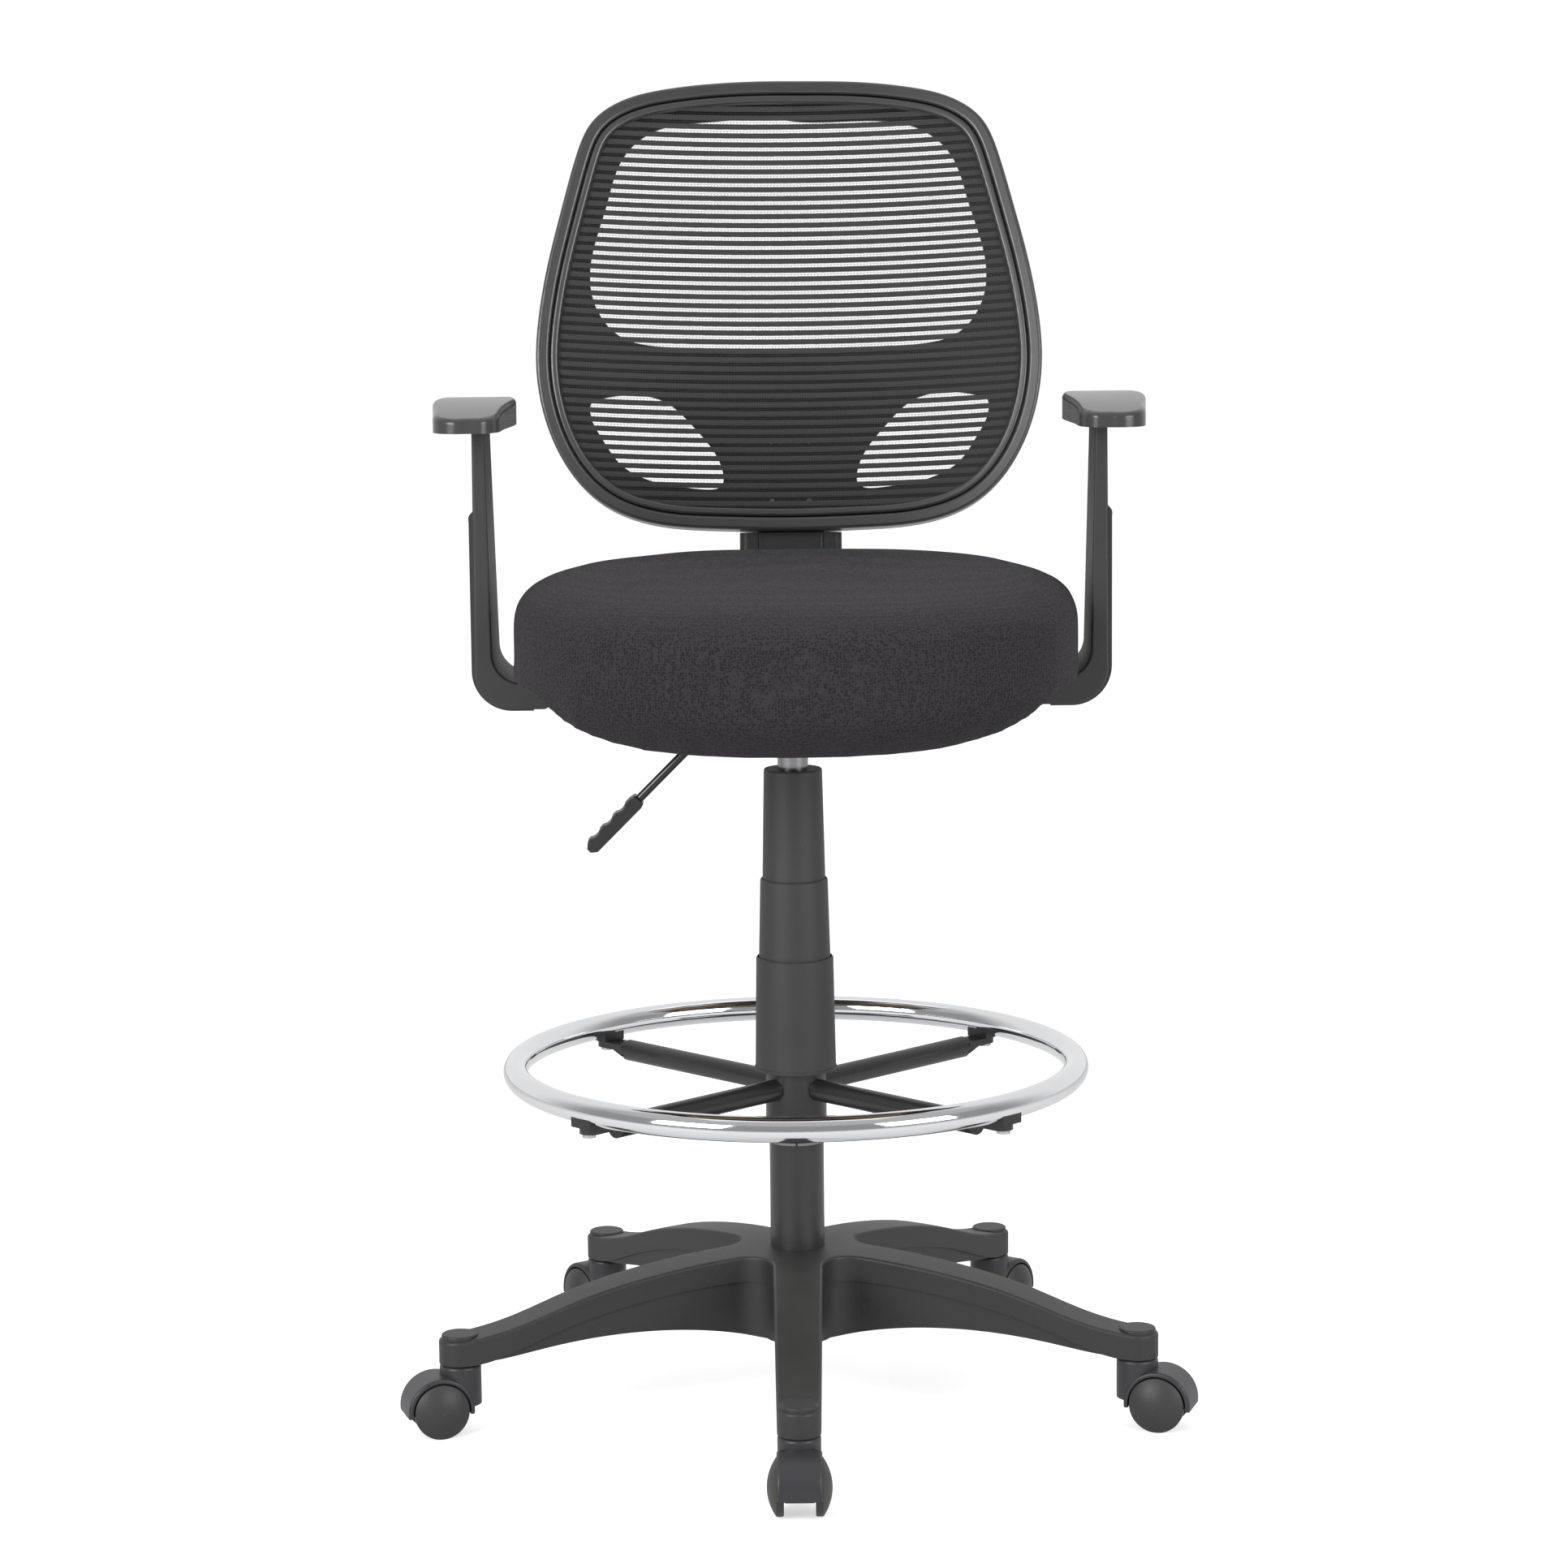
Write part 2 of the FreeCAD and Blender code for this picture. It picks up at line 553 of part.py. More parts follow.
def foot_ring_tab():
    """Saddle between the flattened spoke and the round ring tube."""
    low = RING_HEIGHT - RING_TUBE - 2.0
    saddle = block((RING_RADIUS - 12.0, RING_RADIUS + 12.0), (-12.0, 12.0), (low, RING_HEIGHT - 4.0))
    saddle = saddle.cut(Part.makeTorus(RING_RADIUS, RING_TUBE, V(0, 0, RING_HEIGHT), V(0, 0, 1)))
    saddle = saddle.common(disc(RING_RADIUS + 10.5, 200.0, 340.0).cut(disc(RING_RADIUS - 10.5, 190.0, 350.0)))
    return saddle.cut(disc(3.0, 270.0, 330.0, RING_RADIUS))


def foot_ring_screw():
    low = RING_HEIGHT - RING_TUBE - 2.0 - SPOKE_FLAT_THICKNESS
    length = RING_HEIGHT - RING_TUBE - low
    return shift(screw(3.0, 6.0, 3.4, length, 2.0), x=RING_RADIUS, z=low)


def foot_ring_knob():
    """Lobed clamp knob at the rear, with its screw against the liner."""
    start = RING_HUB_RADIUS + 8.0
    grip = rod(V(0, start, KNOB_HEIGHT), V(0, start + 22.0, KNOB_HEIGHT), KNOB_RADIUS)
    grip = grip.makeFillet(3.0, [edge for edge in grip.Edges if len(edge.Vertexes) == 1])
    flutes = []
    for i in range(6):
        angle = math.radians(60.0 * i)
        x = (KNOB_RADIUS + 3.5) * math.cos(angle)
        z = KNOB_HEIGHT + (KNOB_RADIUS + 3.5) * math.sin(angle)
        flutes.append(rod(V(x, start - 1.0, z), V(x, start + 24.0, z), 6.5))
    shank = rod(V(0, LINER_OUTER + 0.1, KNOB_HEIGHT), V(0, start + 4.0, KNOB_HEIGHT), 4.0)
    return grip.cut(flutes).fuse(shank)


# ---- Seat mechanism -----------------------------------------------------------------------

def mechanism_housing():
    """Pressed tray under the seat, with a flange on top and a slot for the lever."""
    half = HOUSING_HALF_WIDTH
    outer = block((-half, half), (HOUSING_FRONT, HOUSING_BACK), (HOUSING_BOTTOM, PAN_BOTTOM))
    outer = outer.makeFillet(9.0, [edge for edge in outer.Edges if edge.BoundBox.ZLength > 20.0])
    outer = outer.makeFillet(5.0, [edge for edge in outer.Edges if edge.BoundBox.ZMax < HOUSING_BOTTOM + 0.1])
    inner = block((-half + HOUSING_WALL, half - HOUSING_WALL),
                  (HOUSING_FRONT + HOUSING_WALL, HOUSING_BACK - HOUSING_WALL),
                  (HOUSING_BOTTOM + HOUSING_WALL, PAN_BOTTOM + 5.0))
    inner = inner.makeFillet(6.0, [edge for edge in inner.Edges if edge.BoundBox.ZLength > 20.0])
    length = (HOUSING_FRONT - 4.0, HOUSING_BACK + 4.0)
    flange = block((-half - 20.0, half + 20.0), length, (PAN_BOTTOM - 3.0, PAN_BOTTOM))
    flange = flange.makeFillet(14.0, [edge for edge in flange.Edges if edge.BoundBox.ZLength > 2.0])
    holes = [disc(4.2, 640.0, 690.0, x, y) for x, y in mechanism_bolt_places()]
    slot = block((-half - 5.0, -half + 8.0), (-6.5, 6.5), (631.0, 661.0))
    rear_slot = block((-BAR_HALF_WIDTH, BAR_HALF_WIDTH), (HOUSING_BACK - 10.0, HOUSING_BACK + 10.0),
                      (BAR_BOTTOM, BAR_BOTTOM + BAR_THICKNESS))
    column_hole = disc(SOCKET_RADIUS, 600.0, 640.0)
    tray = outer.fuse(flange).cut([inner, slot, rear_slot, column_hole] + holes)
    return tray.fuse(lever_ears())


def lever_ears():
    """Pair of upright ears on the tray's floor, bored for the lever's pivot pin."""
    run = (LEVER_BEND_X - 7.0, LEVER_BEND_X + 7.0)
    height = (HOUSING_BOTTOM + 1.0, LEVER_HEIGHT + 6.5)
    inner = LEVER_PIN_HALF - LEVER_EAR
    pair = [block(run, (inner, LEVER_PIN_HALF), height), block(run, (-LEVER_PIN_HALF, -inner), height)]
    centre = V(LEVER_BEND_X, 0.0, LEVER_HEIGHT)
    reach = V(0, 20.0, 0)
    hole = rod(centre - reach, centre + reach, LEVER_PIN_RADIUS + RUN_GAP)
    return [ear.cut(hole) for ear in pair]


def mechanism_bolt_places():
    x = HOUSING_HALF_WIDTH + 11.0
    front = HOUSING_FRONT + 14.0
    back = HOUSING_BACK - 14.0
    return [(-x, front), (x, front), (-x, back), (x, back)]


def mechanism_bolt(x, y):
    return shift(screw(4.0, 7.0, 5.0, 13.0, 3.0), x, y, PAN_BOTTOM - 3.0)


def mechanism_socket():
    """Tapered tube that the gas cylinder is pushed into, with webs to the tray's floor."""
    body = disc(SOCKET_RADIUS, SOCKET_BOTTOM, SOCKET_TOP)
    webs = [block((-56.0, 56.0), (-2.0, 2.0), (HOUSING_BOTTOM + HOUSING_WALL, 645.0)),
            block((-2.0, 2.0), (-70.0, 70.0), (HOUSING_BOTTOM + HOUSING_WALL, 645.0))]
    taper = turned([(0.0, 590.0), (CYLINDER_RADIUS, 590.0), (CYLINDER_RADIUS, CYLINDER_SHOULDER),
                    (CYLINDER_TOP_RADIUS, CYLINDER_TOP), (0.0, CYLINDER_TOP)])
    lever_way = block((-60.0, -24.0), (-7.0, 7.0), (630.0, 650.0))
    return body.fuse(webs).cut([taper, lever_way])


def lever_rod():
    """Bent rod with its pivot pin."""
    inner = V(-1.5, 0.0, LEVER_HEIGHT)
    bend = V(LEVER_BEND_X, 0.0, LEVER_HEIGHT)
    outer = bend + V(-LEVER_ROD_RUN, 0.0, -LEVER_ROD_RUN)
    elbow = Part.makeSphere(LEVER_RADIUS, bend)
    half = V(0.0, LEVER_PIN_HALF, 0.0)
    pin = rod(bend - half, bend + half, LEVER_PIN_RADIUS)
    bar = rod(inner, bend, LEVER_RADIUS).fuse([elbow, rod(bend, outer, LEVER_RADIUS), pin])
    return bar.removeSplitter()


def lever_paddle():
    """Flat grip on the rod's end, with three finger hollows on its lower edge."""
    length = PADDLE_LENGTH
    half = 6.8
    corners = [(0.0, -5.6), (6.0, -half), (length - 6.0, -half), (length, -2.0), (length, 2.5),
               (length - 5.0, half), (4.0, half), (0.0, 5.6)]
    outline = rounded_polygon(corners, 1.6, lambda along, across: V(along, -9.0, across))
    grip = solid_of(outline, V(0, 18.0, 0))
    hollows = []
    for i in range(3):
        x = length * (0.27 + 0.25 * i)
        hollows.append(rod(V(x, -20.0, -half - 8.6), V(x, 20.0, -half - 8.6), 10.6))
    grip = grip.cut(hollows)
    grip = grip.makeFillet(1.2, [edge for edge in grip.Edges if edge.BoundBox.YLength < 0.1])
    socket_depth = (LEVER_ROD_RUN - PADDLE_START) * math.sqrt(2.0)
    grip = grip.cut(Part.makeCylinder(LEVER_RADIUS, socket_depth, V(0, 0, 0), V(1, 0, 0)))
    grip = turn(grip, 135.0, axis=V(0, 1, 0))
    start = V(LEVER_BEND_X, 0.0, LEVER_HEIGHT) + V(-PADDLE_START, 0.0, -PADDLE_START)
    grip.translate(start)
    return grip


# ---- Seat ---------------------------------------------------------------------------------

def seat_pan():
    """Moulded board inside the cushion's underside."""
    corners = [(-PAN_HALF, -180.0), (PAN_HALF, -180.0), (PAN_HALF, 190.0), (-PAN_HALF, 190.0)]
    outline = rounded_polygon(corners, 45.0, lambda x, y: V(x, y, PAN_BOTTOM))
    board = solid_of(outline, V(0, 0, PAN_TOP - PAN_BOTTOM))
    holes = [disc(4.0, 670.0, 700.0, x, y) for x, y in mechanism_bolt_places()]
    for side in (-1.0, 1.0):
        holes += [disc(4.0, 670.0, 700.0, side * x, y) for x, y in arm_bolt_places()]
    return board.cut(holes)


def seat_cushion():
    """Plain body of the cushion: a rounded slab whose front rolls over and down."""
    profile = [(SEAT_BACK, 690.0), (SEAT_BACK + 4.0, 728.0), (196.0, 760.0), (110.0, 752.0), (-40.0, 742.0),
               (-180.0, 744.0), (-250.0, 727.0), (SEAT_FRONT, 684.0), (-272.0, 648.0), (-235.0, 641.0),
               (-190.0, 664.0), (-150.0, SEAT_UNDERSIDE)]
    points = [V(-300.0, y, z) for y, z in profile]
    edges = [spline(points), line(points[-1], V(-300.0, 190.0, SEAT_UNDERSIDE)),
             line(V(-300.0, 190.0, SEAT_UNDERSIDE), points[0])]
    slab = solid_of(edges, V(600.0, 0, 0))
    plan = [V(0, SEAT_FRONT - 4.0, 600.0), V(110.0, SEAT_FRONT + 2.0, 600.0), V(196.0, -238.0, 600.0),
            V(238.0, -160.0, 600.0), V(SEAT_HALF_WIDTH, -20.0, 600.0), V(250.0, 90.0, 600.0),
            V(222.0, 178.0, 600.0), V(150.0, 214.0, 600.0), V(0, 224.0, 600.0)]
    plan += [V(-point.x, point.y, point.z) for point in reversed(plan[1:-1])]
    cushion = slab.common(solid_of([spline(plan, closed=True)], V(0, 0, 250.0)))
    corners = [(-PAN_HALF, -180.0), (PAN_HALF, -180.0), (PAN_HALF, 190.0), (-PAN_HALF, 190.0)]
    pocket_edge = rounded_polygon(corners, 45.0, lambda x, y: V(x, y, 600.0))
    pocket = solid_of(pocket_edge, V(0, 0, PAN_TOP - 600.0))
    return cushion.cut(pocket)


# ---- Arms ---------------------------------------------------------------------------------

def arm_bolt_places():
    return [(160.0, -28.0), (160.0, 32.0), (104.0, 2.0)]


def arm():
    """Right-hand armrest support: flat plate under the seat, rounded corner, tall blade, top flange."""
    inner = ARM_OUTER - ARM_THICKNESS
    leg_top = ARM_LEG_BOTTOM + ARM_LEG_THICKNESS
    top = PAD_BOTTOM
    depth = ARM_BACK_BOTTOM - ARM_FRONT
    bulge = 3.5

    def at(x, z):
        return V(x, ARM_FRONT, z)

    outer_mid = ARM_CORNER_OUTER * (1.0 - math.sqrt(0.5))
    inner_mid = ARM_CORNER_INNER * (1.0 - math.sqrt(0.5))
    low_inner = inner - bulge
    plate_bottom = ARM_PLATE_TOP - ARM_PLATE_THICKNESS
    edges = [
        line(at(ARM_OUTER - 1.5, top), at(ARM_OUTER, ARM_LEG_BOTTOM + ARM_CORNER_OUTER)),
        arc(at(ARM_OUTER, ARM_LEG_BOTTOM + ARM_CORNER_OUTER),
            at(ARM_OUTER - outer_mid, ARM_LEG_BOTTOM + outer_mid),
            at(ARM_OUTER - ARM_CORNER_OUTER, ARM_LEG_BOTTOM)),
        line(at(ARM_OUTER - ARM_CORNER_OUTER, ARM_LEG_BOTTOM), at(222.0, ARM_LEG_BOTTOM)),
        line(at(222.0, ARM_LEG_BOTTOM), at(190.0, plate_bottom)),
        line(at(190.0, plate_bottom), at(ARM_PLATE_INNER, plate_bottom)),
        line(at(ARM_PLATE_INNER, plate_bottom), at(ARM_PLATE_INNER, ARM_PLATE_TOP)),
        line(at(ARM_PLATE_INNER, ARM_PLATE_TOP), at(low_inner - ARM_CORNER_INNER, leg_top - 1.0)),
        arc(at(low_inner - ARM_CORNER_INNER, leg_top - 1.0), at(low_inner - inner_mid, leg_top + inner_mid),
            at(low_inner, leg_top + ARM_CORNER_INNER)),
        line(at(low_inner, leg_top + ARM_CORNER_INNER), at(inner, top)),
        line(at(inner, top), at(ARM_OUTER - 1.5, top)),
    ]
    body = solid_of(edges, V(0, depth, 0))
    side = [V(0, ARM_FRONT - 1.0, 600.0), V(0, ARM_FRONT - 1.0, 950.0), V(0, ARM_BACK_TOP, 950.0),
            V(0, ARM_BACK_TOP, 880.0), V(0, ARM_BACK_BOTTOM, 700.0), V(0, ARM_BACK_BOTTOM, 600.0)]
    body = body.common(Part.Face(Part.makePolygon(side + [side[0]])).extrude(V(400.0, 0, 0)))
    body = body.makeFillet(2.2, blade_edges(body))
    flange = solid_of(rounded_polygon([(-16.0, -72.0), (20.0, -72.0), (20.0, 92.0), (-16.0, 92.0)], 8.0,
                                      lambda x, y: V(PAD_CENTRE_X + x, y, PAD_BOTTOM - 0.5)),
                      V(0, 0, FLANGE_THICKNESS + 0.5))
    holes = [disc(4.2, 640.0, 690.0, x, y) for x, y in arm_bolt_places()]
    holes += [disc(PAD_SCREW_RADIUS, 890.0, 930.0, x, y) for x, y in pad_screw_places()]
    return body.fuse([arm_skin(), flange]).cut(holes)


def blade_edges(body):
    """Long front and rear edges of the upright and its corner."""
    chosen = []
    for edge in body.Edges:
        box = edge.BoundBox
        beyond = box.XMin > 224.0
        along_face = box.YLength < 0.5 and (abs(box.YMin - ARM_FRONT) < 0.5)
        if beyond and along_face and box.ZMin < PAD_BOTTOM - 1.0:
            chosen.append(edge)
    return chosen


def arm_skin():
    """Second layer on the outside of the lower half, with a rounded upper end."""
    outer = ARM_OUTER + ARM_SKIN
    low = ARM_LEG_BOTTOM - 1.6
    corner = ARM_CORNER_OUTER + 2.0
    mid = corner * (1.0 - math.sqrt(0.5))
    front = ARM_FRONT + 5.0

    def at(x, z):
        return V(x, front, z)

    edges = [
        line(at(ARM_OUTER - 4.0, ARM_SKIN_TOP), at(outer - ARM_SKIN, ARM_SKIN_TOP)),
        arc(at(outer - ARM_SKIN, ARM_SKIN_TOP), at(outer - 0.9, ARM_SKIN_TOP - 2.1),
            at(outer, ARM_SKIN_TOP - 8.0)),
        line(at(outer, ARM_SKIN_TOP - 8.0), at(outer, low + corner)),
        arc(at(outer, low + corner), at(outer - mid, low + mid), at(outer - corner, low)),
        line(at(outer - corner, low), at(232.0, low)),
        line(at(232.0, low), at(232.0, ARM_LEG_BOTTOM + 6.0)),
        line(at(232.0, ARM_LEG_BOTTOM + 6.0), at(252.0, ARM_LEG_BOTTOM + 10.0)),
        line(at(252.0, ARM_LEG_BOTTOM + 10.0), at(ARM_OUTER - 8.0, ARM_LEG_BOTTOM + 36.0)),
        line(at(ARM_OUTER - 8.0, ARM_LEG_BOTTOM + 36.0), at(ARM_OUTER - 4.0, ARM_SKIN_TOP)),
    ]
    return solid_of(edges, V(0, ARM_BACK_TOP - front - 4.0, 0))


def pad_screw_places():
    return [(PAD_CENTRE_X - 9.0, -62.0), (PAD_CENTRE_X - 9.0, 80.0)]


def arm_pad():
    """Soft-touch pad: bulged sides, blunt ends, softly crowned top."""
    middle = (PAD_FRONT + PAD_BACK) / 2.0
    end = PAD_END_WIDTH / 2.0
    wide = PAD_MIDDLE_WIDTH / 2.0
    quarter = [(0.0, PAD_FRONT), (end - 8.0, PAD_FRONT + 0.8), (end + 1.5, PAD_FRONT + 8.0),
               (end + 8.0, PAD_FRONT + 40.0), (wide, middle)]
    half = quarter + [(x, PAD_FRONT + PAD_BACK - y) for x, y in reversed(quarter[:-1])]
    outline = half + [(-x, y) for x, y in reversed(half[1:-1])]
    edges = [spline([V(PAD_CENTRE_X + x, y, PAD_BOTTOM) for x, y in outline], closed=True)]
    pad = solid_of(edges, V(0, 0, 40.0))
    crown_radius = 900.0
    crown_centre = V(PAD_CENTRE_X - 100.0, middle + 10.0, PAD_TOP - crown_radius)
    pad = pad.common(Part.makeCylinder(crown_radius, 200.0, crown_centre, V(1, 0, 0)))
    pad = pad.makeFillet(5.0, [edge for edge in pad.Edges if edge.BoundBox.ZMin > PAD_BOTTOM + 6.0])
    pocket = solid_of(rounded_polygon([(-16.0, -72.0), (20.0, -72.0), (20.0, 92.0), (-16.0, 92.0)], 8.0,
                                      lambda x, y: V(PAD_CENTRE_X + x, y, PAD_BOTTOM - 2.0)),
                      V(0, 0, FLANGE_THICKNESS + 2.0))
    holes = [disc(PAD_SCREW_RADIUS, 900.0, PAD_TOP - 8.0, x, y) for x, y in pad_screw_places()]
    return pad.cut([pocket] + holes)


# ---- Back ---------------------------------------------------------------------------------

def back_outline(inset):
    """Outline of the back in its own plane, drawn in by an inset."""
    half = [(0.0, BACK_HEIGHT), (62.0, 432.5), (118.0, 426.0), (160.0, 414.0), (188.0, 393.0), (203.0, 361.0),
            (217.0, 311.0), (230.0, 260.0), (240.0, 205.0), (243.0, 160.0), (235.0, 106.0), (214.0, 59.0),
            (180.0, 24.0), (135.0, 6.0), (70.0, 0.0), (0.0, -1.5)]
    points = [V(x, 0, z) for x, z in half]
    points += [V(-x, 0, z) for x, z in reversed(half[1:-1])]
    moved = []
    for i, point in enumerate(points):
        ahead = points[(i + 1) % len(points)]
        tangent = (ahead - points[i - 1]).normalize()
        moved.append(point + V(-tangent.z, 0, tangent.x) * -inset)
    return moved


def back_prism(inset):
    edge = spline([V(p.x, -60.0, p.z) for p in back_outline(inset)], closed=True)
    return solid_of([edge], V(0, 200.0, 0))


def face_cylinder(depth):
    """Everything in front of the dished face, moved back by a depth."""
    centre = V(0, FACE_CENTRE - FACE_RADIUS, -100.0)
    return Part.makeCylinder(FACE_RADIUS + depth, 700.0, centre)


def rear_cylinder(depth):
    """Everything in front of the more deeply bowed rear face, moved back by a depth."""
    centre = V(0, REAR_CENTRE - REAR_RADIUS, -100.0)
    return Part.makeCylinder(REAR_RADIUS + depth, 700.0, centre)


def set_back(shape):
    """From the back's own frame into the chair."""
    moved = turn(shape, -BACK_RECLINE, axis=V(1, 0, 0))
    moved.translate(BACK_ORIGIN)
    return moved


def back_frame():
    """Outer ring, with a ledge behind the mesh's rim."""
    band = back_prism(0.0).cut(back_prism(BAND_WIDTH))
    band = band.common(rear_cylinder(0.0)).cut(face_cylinder(0.0))
    front = [edge for edge in band.Edges if edge.Length > 1200.0]
    band = band.makeFillet(3.0, front)
    ledge = back_prism(BAND_WIDTH - 1.0).cut(back_prism(BEAD_END - 1.0))
    ledge = ledge.common(rear_cylinder(0.0)).cut(face_cylinder(BEAD_DEPTH + 1.0))
    return set_back(band.fuse(ledge))


def mesh_rim():
    rim = back_prism(BEAD_START).cut(back_prism(BEAD_END))
    rim = rim.common(face_cylinder(BEAD_DEPTH + 1.0)).cut(face_cylinder(1.0))
    long_edges = [edge for edge in rim.Edges if edge.Length > 1100.0]
    rim = rim.makeFillet(2.4, [edge for edge in long_edges if edge.BoundBox.YMax < FACE_CENTRE + 5.0])
    return set_back(rim)


def mesh_panel():
    panel = back_prism(BEAD_END + 0.1)
    return set_back(panel.common(face_cylinder(MESH_DEPTH + MESH_THICKNESS)).cut(face_cylinder(MESH_DEPTH)))


def shell_windows():
    """Openings through the rear shell: one wide window above, two curved ones below."""
    def at(x, z):
        return V(x, -60.0, z)

    upper = [(0.0, 402.0), (80.0, 400.0), (128.0, 391.0), (158.0, 366.0), (176.0, 316.0), (190.0, 268.0),
             (189.0, 224.0), (164.0, 190.0), (120.0, 180.0), (0.0, 178.0)]
    outline = [at(x, z) for x, z in upper]
    outline += [at(-x, z) for x, z in reversed(upper[1:-1])]
    windows = [solid_of([spline(outline, closed=True)], V(0, 200.0, 0))]
    lower = [(190.0, 126.0), (152.0, 133.0), (120.0, 126.0), (96.0, 105.0), (78.0, 84.0), (66.0, 60.0),
             (66.0, 46.0), (92.0, 42.0), (130.0, 48.0), (165.0, 66.0), (183.0, 92.0), (193.0, 115.0)]
    for side in (-1.0, 1.0):
        outline = [at(side * x, z) for x, z in lower]
        windows.append(solid_of([spline(outline, closed=True)], V(0, 200.0, 0)))
    return windows


def back_shell():
    """Rear skeleton of the back, with a stiffening spine behind its trunk."""
    sheet = back_prism(SHELL_INSET).common(rear_cylinder(SHELL_THICKNESS)).cut(rear_cylinder(0.0))
    spine = block((-44.0, 44.0), (0.0, 200.0), (2.0, 118.0))
    spine = spine.makeFillet(12.0, [edge for edge in spine.Edges if edge.BoundBox.YLength > 100.0])
    spine = spine.common(rear_cylinder(SHELL_THICKNESS + 3.5)).cut(rear_cylinder(SHELL_THICKNESS - 0.5))
    shell = sheet.cut(shell_windows()).fuse(spine)
    holes = []
    for x, z in back_screw_places():
        holes.append(rod(V(x, 0.0, z), V(x, 200.0, z), 2.6))
    return set_back(shell.cut(holes))


def back_screw_places():
    return [(-18.0, 30.0), (18.0, 30.0), (-18.0, 88.0), (18.0, 88.0)]


def bar_face():
    """Depth, in the back's own frame, of the flat face that the bar is screwed to."""
    return REAR_CENTRE + SHELL_THICKNESS + 3.5


def back_bar():
    """Steel strap: level under the seat, bent up, and leaned with the back."""
    lean = math.radians(BACK_RECLINE)
    up = V(0, math.sin(lean), math.cos(lean))
    out = V(0, math.cos(lean), -math.sin(lean))
    face = BACK_ORIGIN + out * (bar_face() + 0.05)
    top = face + up * 112.0
    level = BAR_BOTTOM + BAR_THICKNESS
    reach = (level - face.z) / up.z
    corner = face + up * reach
    cut = BAR_BEND * math.tan((math.pi / 2.0 - lean) / 2.0)
    low_end = V(0, 70.0, level)
    first = corner + V(0, -cut, 0)
    last = corner + up * cut
    bisector = (V(0, -1, 0) + up).normalize()
    half_angle = (math.pi / 2.0 - lean) / 2.0
    middle = corner + bisector * (BAR_BEND / math.cos(half_angle) - BAR_BEND)
    outer_radius = BAR_BEND + BAR_THICKNESS
    outer_middle = corner + bisector * (BAR_BEND / math.cos(half_angle) - outer_radius)
    drop = V(0, 0, -BAR_THICKNESS)
    rear = out * BAR_THICKNESS
    edges = [line(low_end, first), arc(first, middle, last), line(last, top), line(top, top + rear),
             line(top + rear, last + rear), arc(last + rear, outer_middle, first + drop),
             line(first + drop, low_end + drop), line(low_end + drop, low_end)]
    bar = shift(solid_of(edges, V(2.0 * BAR_HALF_WIDTH, 0, 0)), x=-BAR_HALF_WIDTH)
    holes = []
    for x, z in back_screw_places():
        holes.append(set_back(rod(V(x, 0.0, z), V(x, 200.0, z), 3.0)))
    return bar.cut(holes)


def back_bar_cover():
    """Moulded cover round the bar, between the seat and the back, with a sunk front panel."""
    front = bar_face() - 26.0
    rear = bar_face() + BAR_THICKNESS + 5.0
    low = -72.0
    high = -2.2
    body = block((-BAR_COVER_HALF_WIDTH, BAR_COVER_HALF_WIDTH), (front, rear), (low, high))
    body = body.makeFillet(8.0, [edge for edge in body.Edges if edge.BoundBox.ZLength > 50.0])
    through = (low - 5.0, high + 5.0)
    panel = block((-BAR_COVER_PANEL_HALF, BAR_COVER_PANEL_HALF), (front - 5.0, front + 4.0), through)
    upright = [edge for edge in panel.Edges if edge.BoundBox.ZLength > 50.0]
    panel = panel.makeFillet(3.0, [edge for edge in upright if edge.BoundBox.YMax > front])
    bar_depth = (bar_face(), bar_face() + BAR_THICKNESS + 0.1)
    way = block((-BAR_HALF_WIDTH, BAR_HALF_WIDTH), bar_depth, through)
    inside = BAR_COVER_HALF_WIDTH - 3.0
    hollow = block((-inside, inside), (front + 8.0, bar_face() - 3.0), (low - 5.0, high - 4.0))
    return set_back(body.cut([panel, way, hollow]))


def back_screw(x, z):
    one = turn(screw(2.6, 5.5, 3.0, 14.0, 1.8), 90.0, axis=V(1, 0, 0))
    one.translate(V(x, bar_face() + BAR_THICKNESS + 0.05, z))
    return set_back(one)


# ---- Write every piece --------------------------------------------------------------------

def write_base():
    write("star_base", star_base())
    write("caster_stems", *[turn(caster_stem(), azimuth) for azimuth in leg_azimuths()])
    hood = caster_hood()
    axle = caster_axle()
    for i, azimuth in enumerate(leg_azimuths()):
        name = "caster_%d_" % (i + 1)
        write(name + "hood", turn(hood, azimuth))
        write(name + "axle", turn(axle, azimuth))
        write(name + "wheel_left", turn(caster_wheel(1.0), azimuth))
        write(name + "wheel_right", turn(caster_wheel(-1.0), azimuth))


def write_column():
    write("column_tube", column_tube())
    write("guide_bushing", guide_bushing())
    write("gas_cylinder", gas_cylinder())
    write("piston_rod", piston_rod())
    write("thrust_bearing", thrust_bearing())
    write("retaining_clip", retaining_clip())
    write("release_button", release_button())
    write("cover_lower", cover_lower())
    write("cover_middle", cover(COVER_MIDDLE))
    write("cover_upper", cover(COVER_UPPER, cap_radius=CYLINDER_RADIUS, cap_thickness=2.4))


def write_foot_ring():
    write("foot_ring", foot_ring())
    write("foot_ring_hub", foot_ring_hub())
    write("foot_ring_liner", foot_ring_liner())
    write("foot_ring_spokes", *[turn(foot_ring_spoke(), azimuth) for azimuth in SPOKE_AZIMUTHS])
    write("foot_ring_tabs", *[turn(foot_ring_tab(), azimuth) for azimuth in SPOKE_AZIMUTHS])
    write("foot_ring_screws", *[turn(foot_ring_screw(), azimuth) for azimuth in SPOKE_AZIMUTHS])
    write("foot_ring_knob", foot_ring_knob())


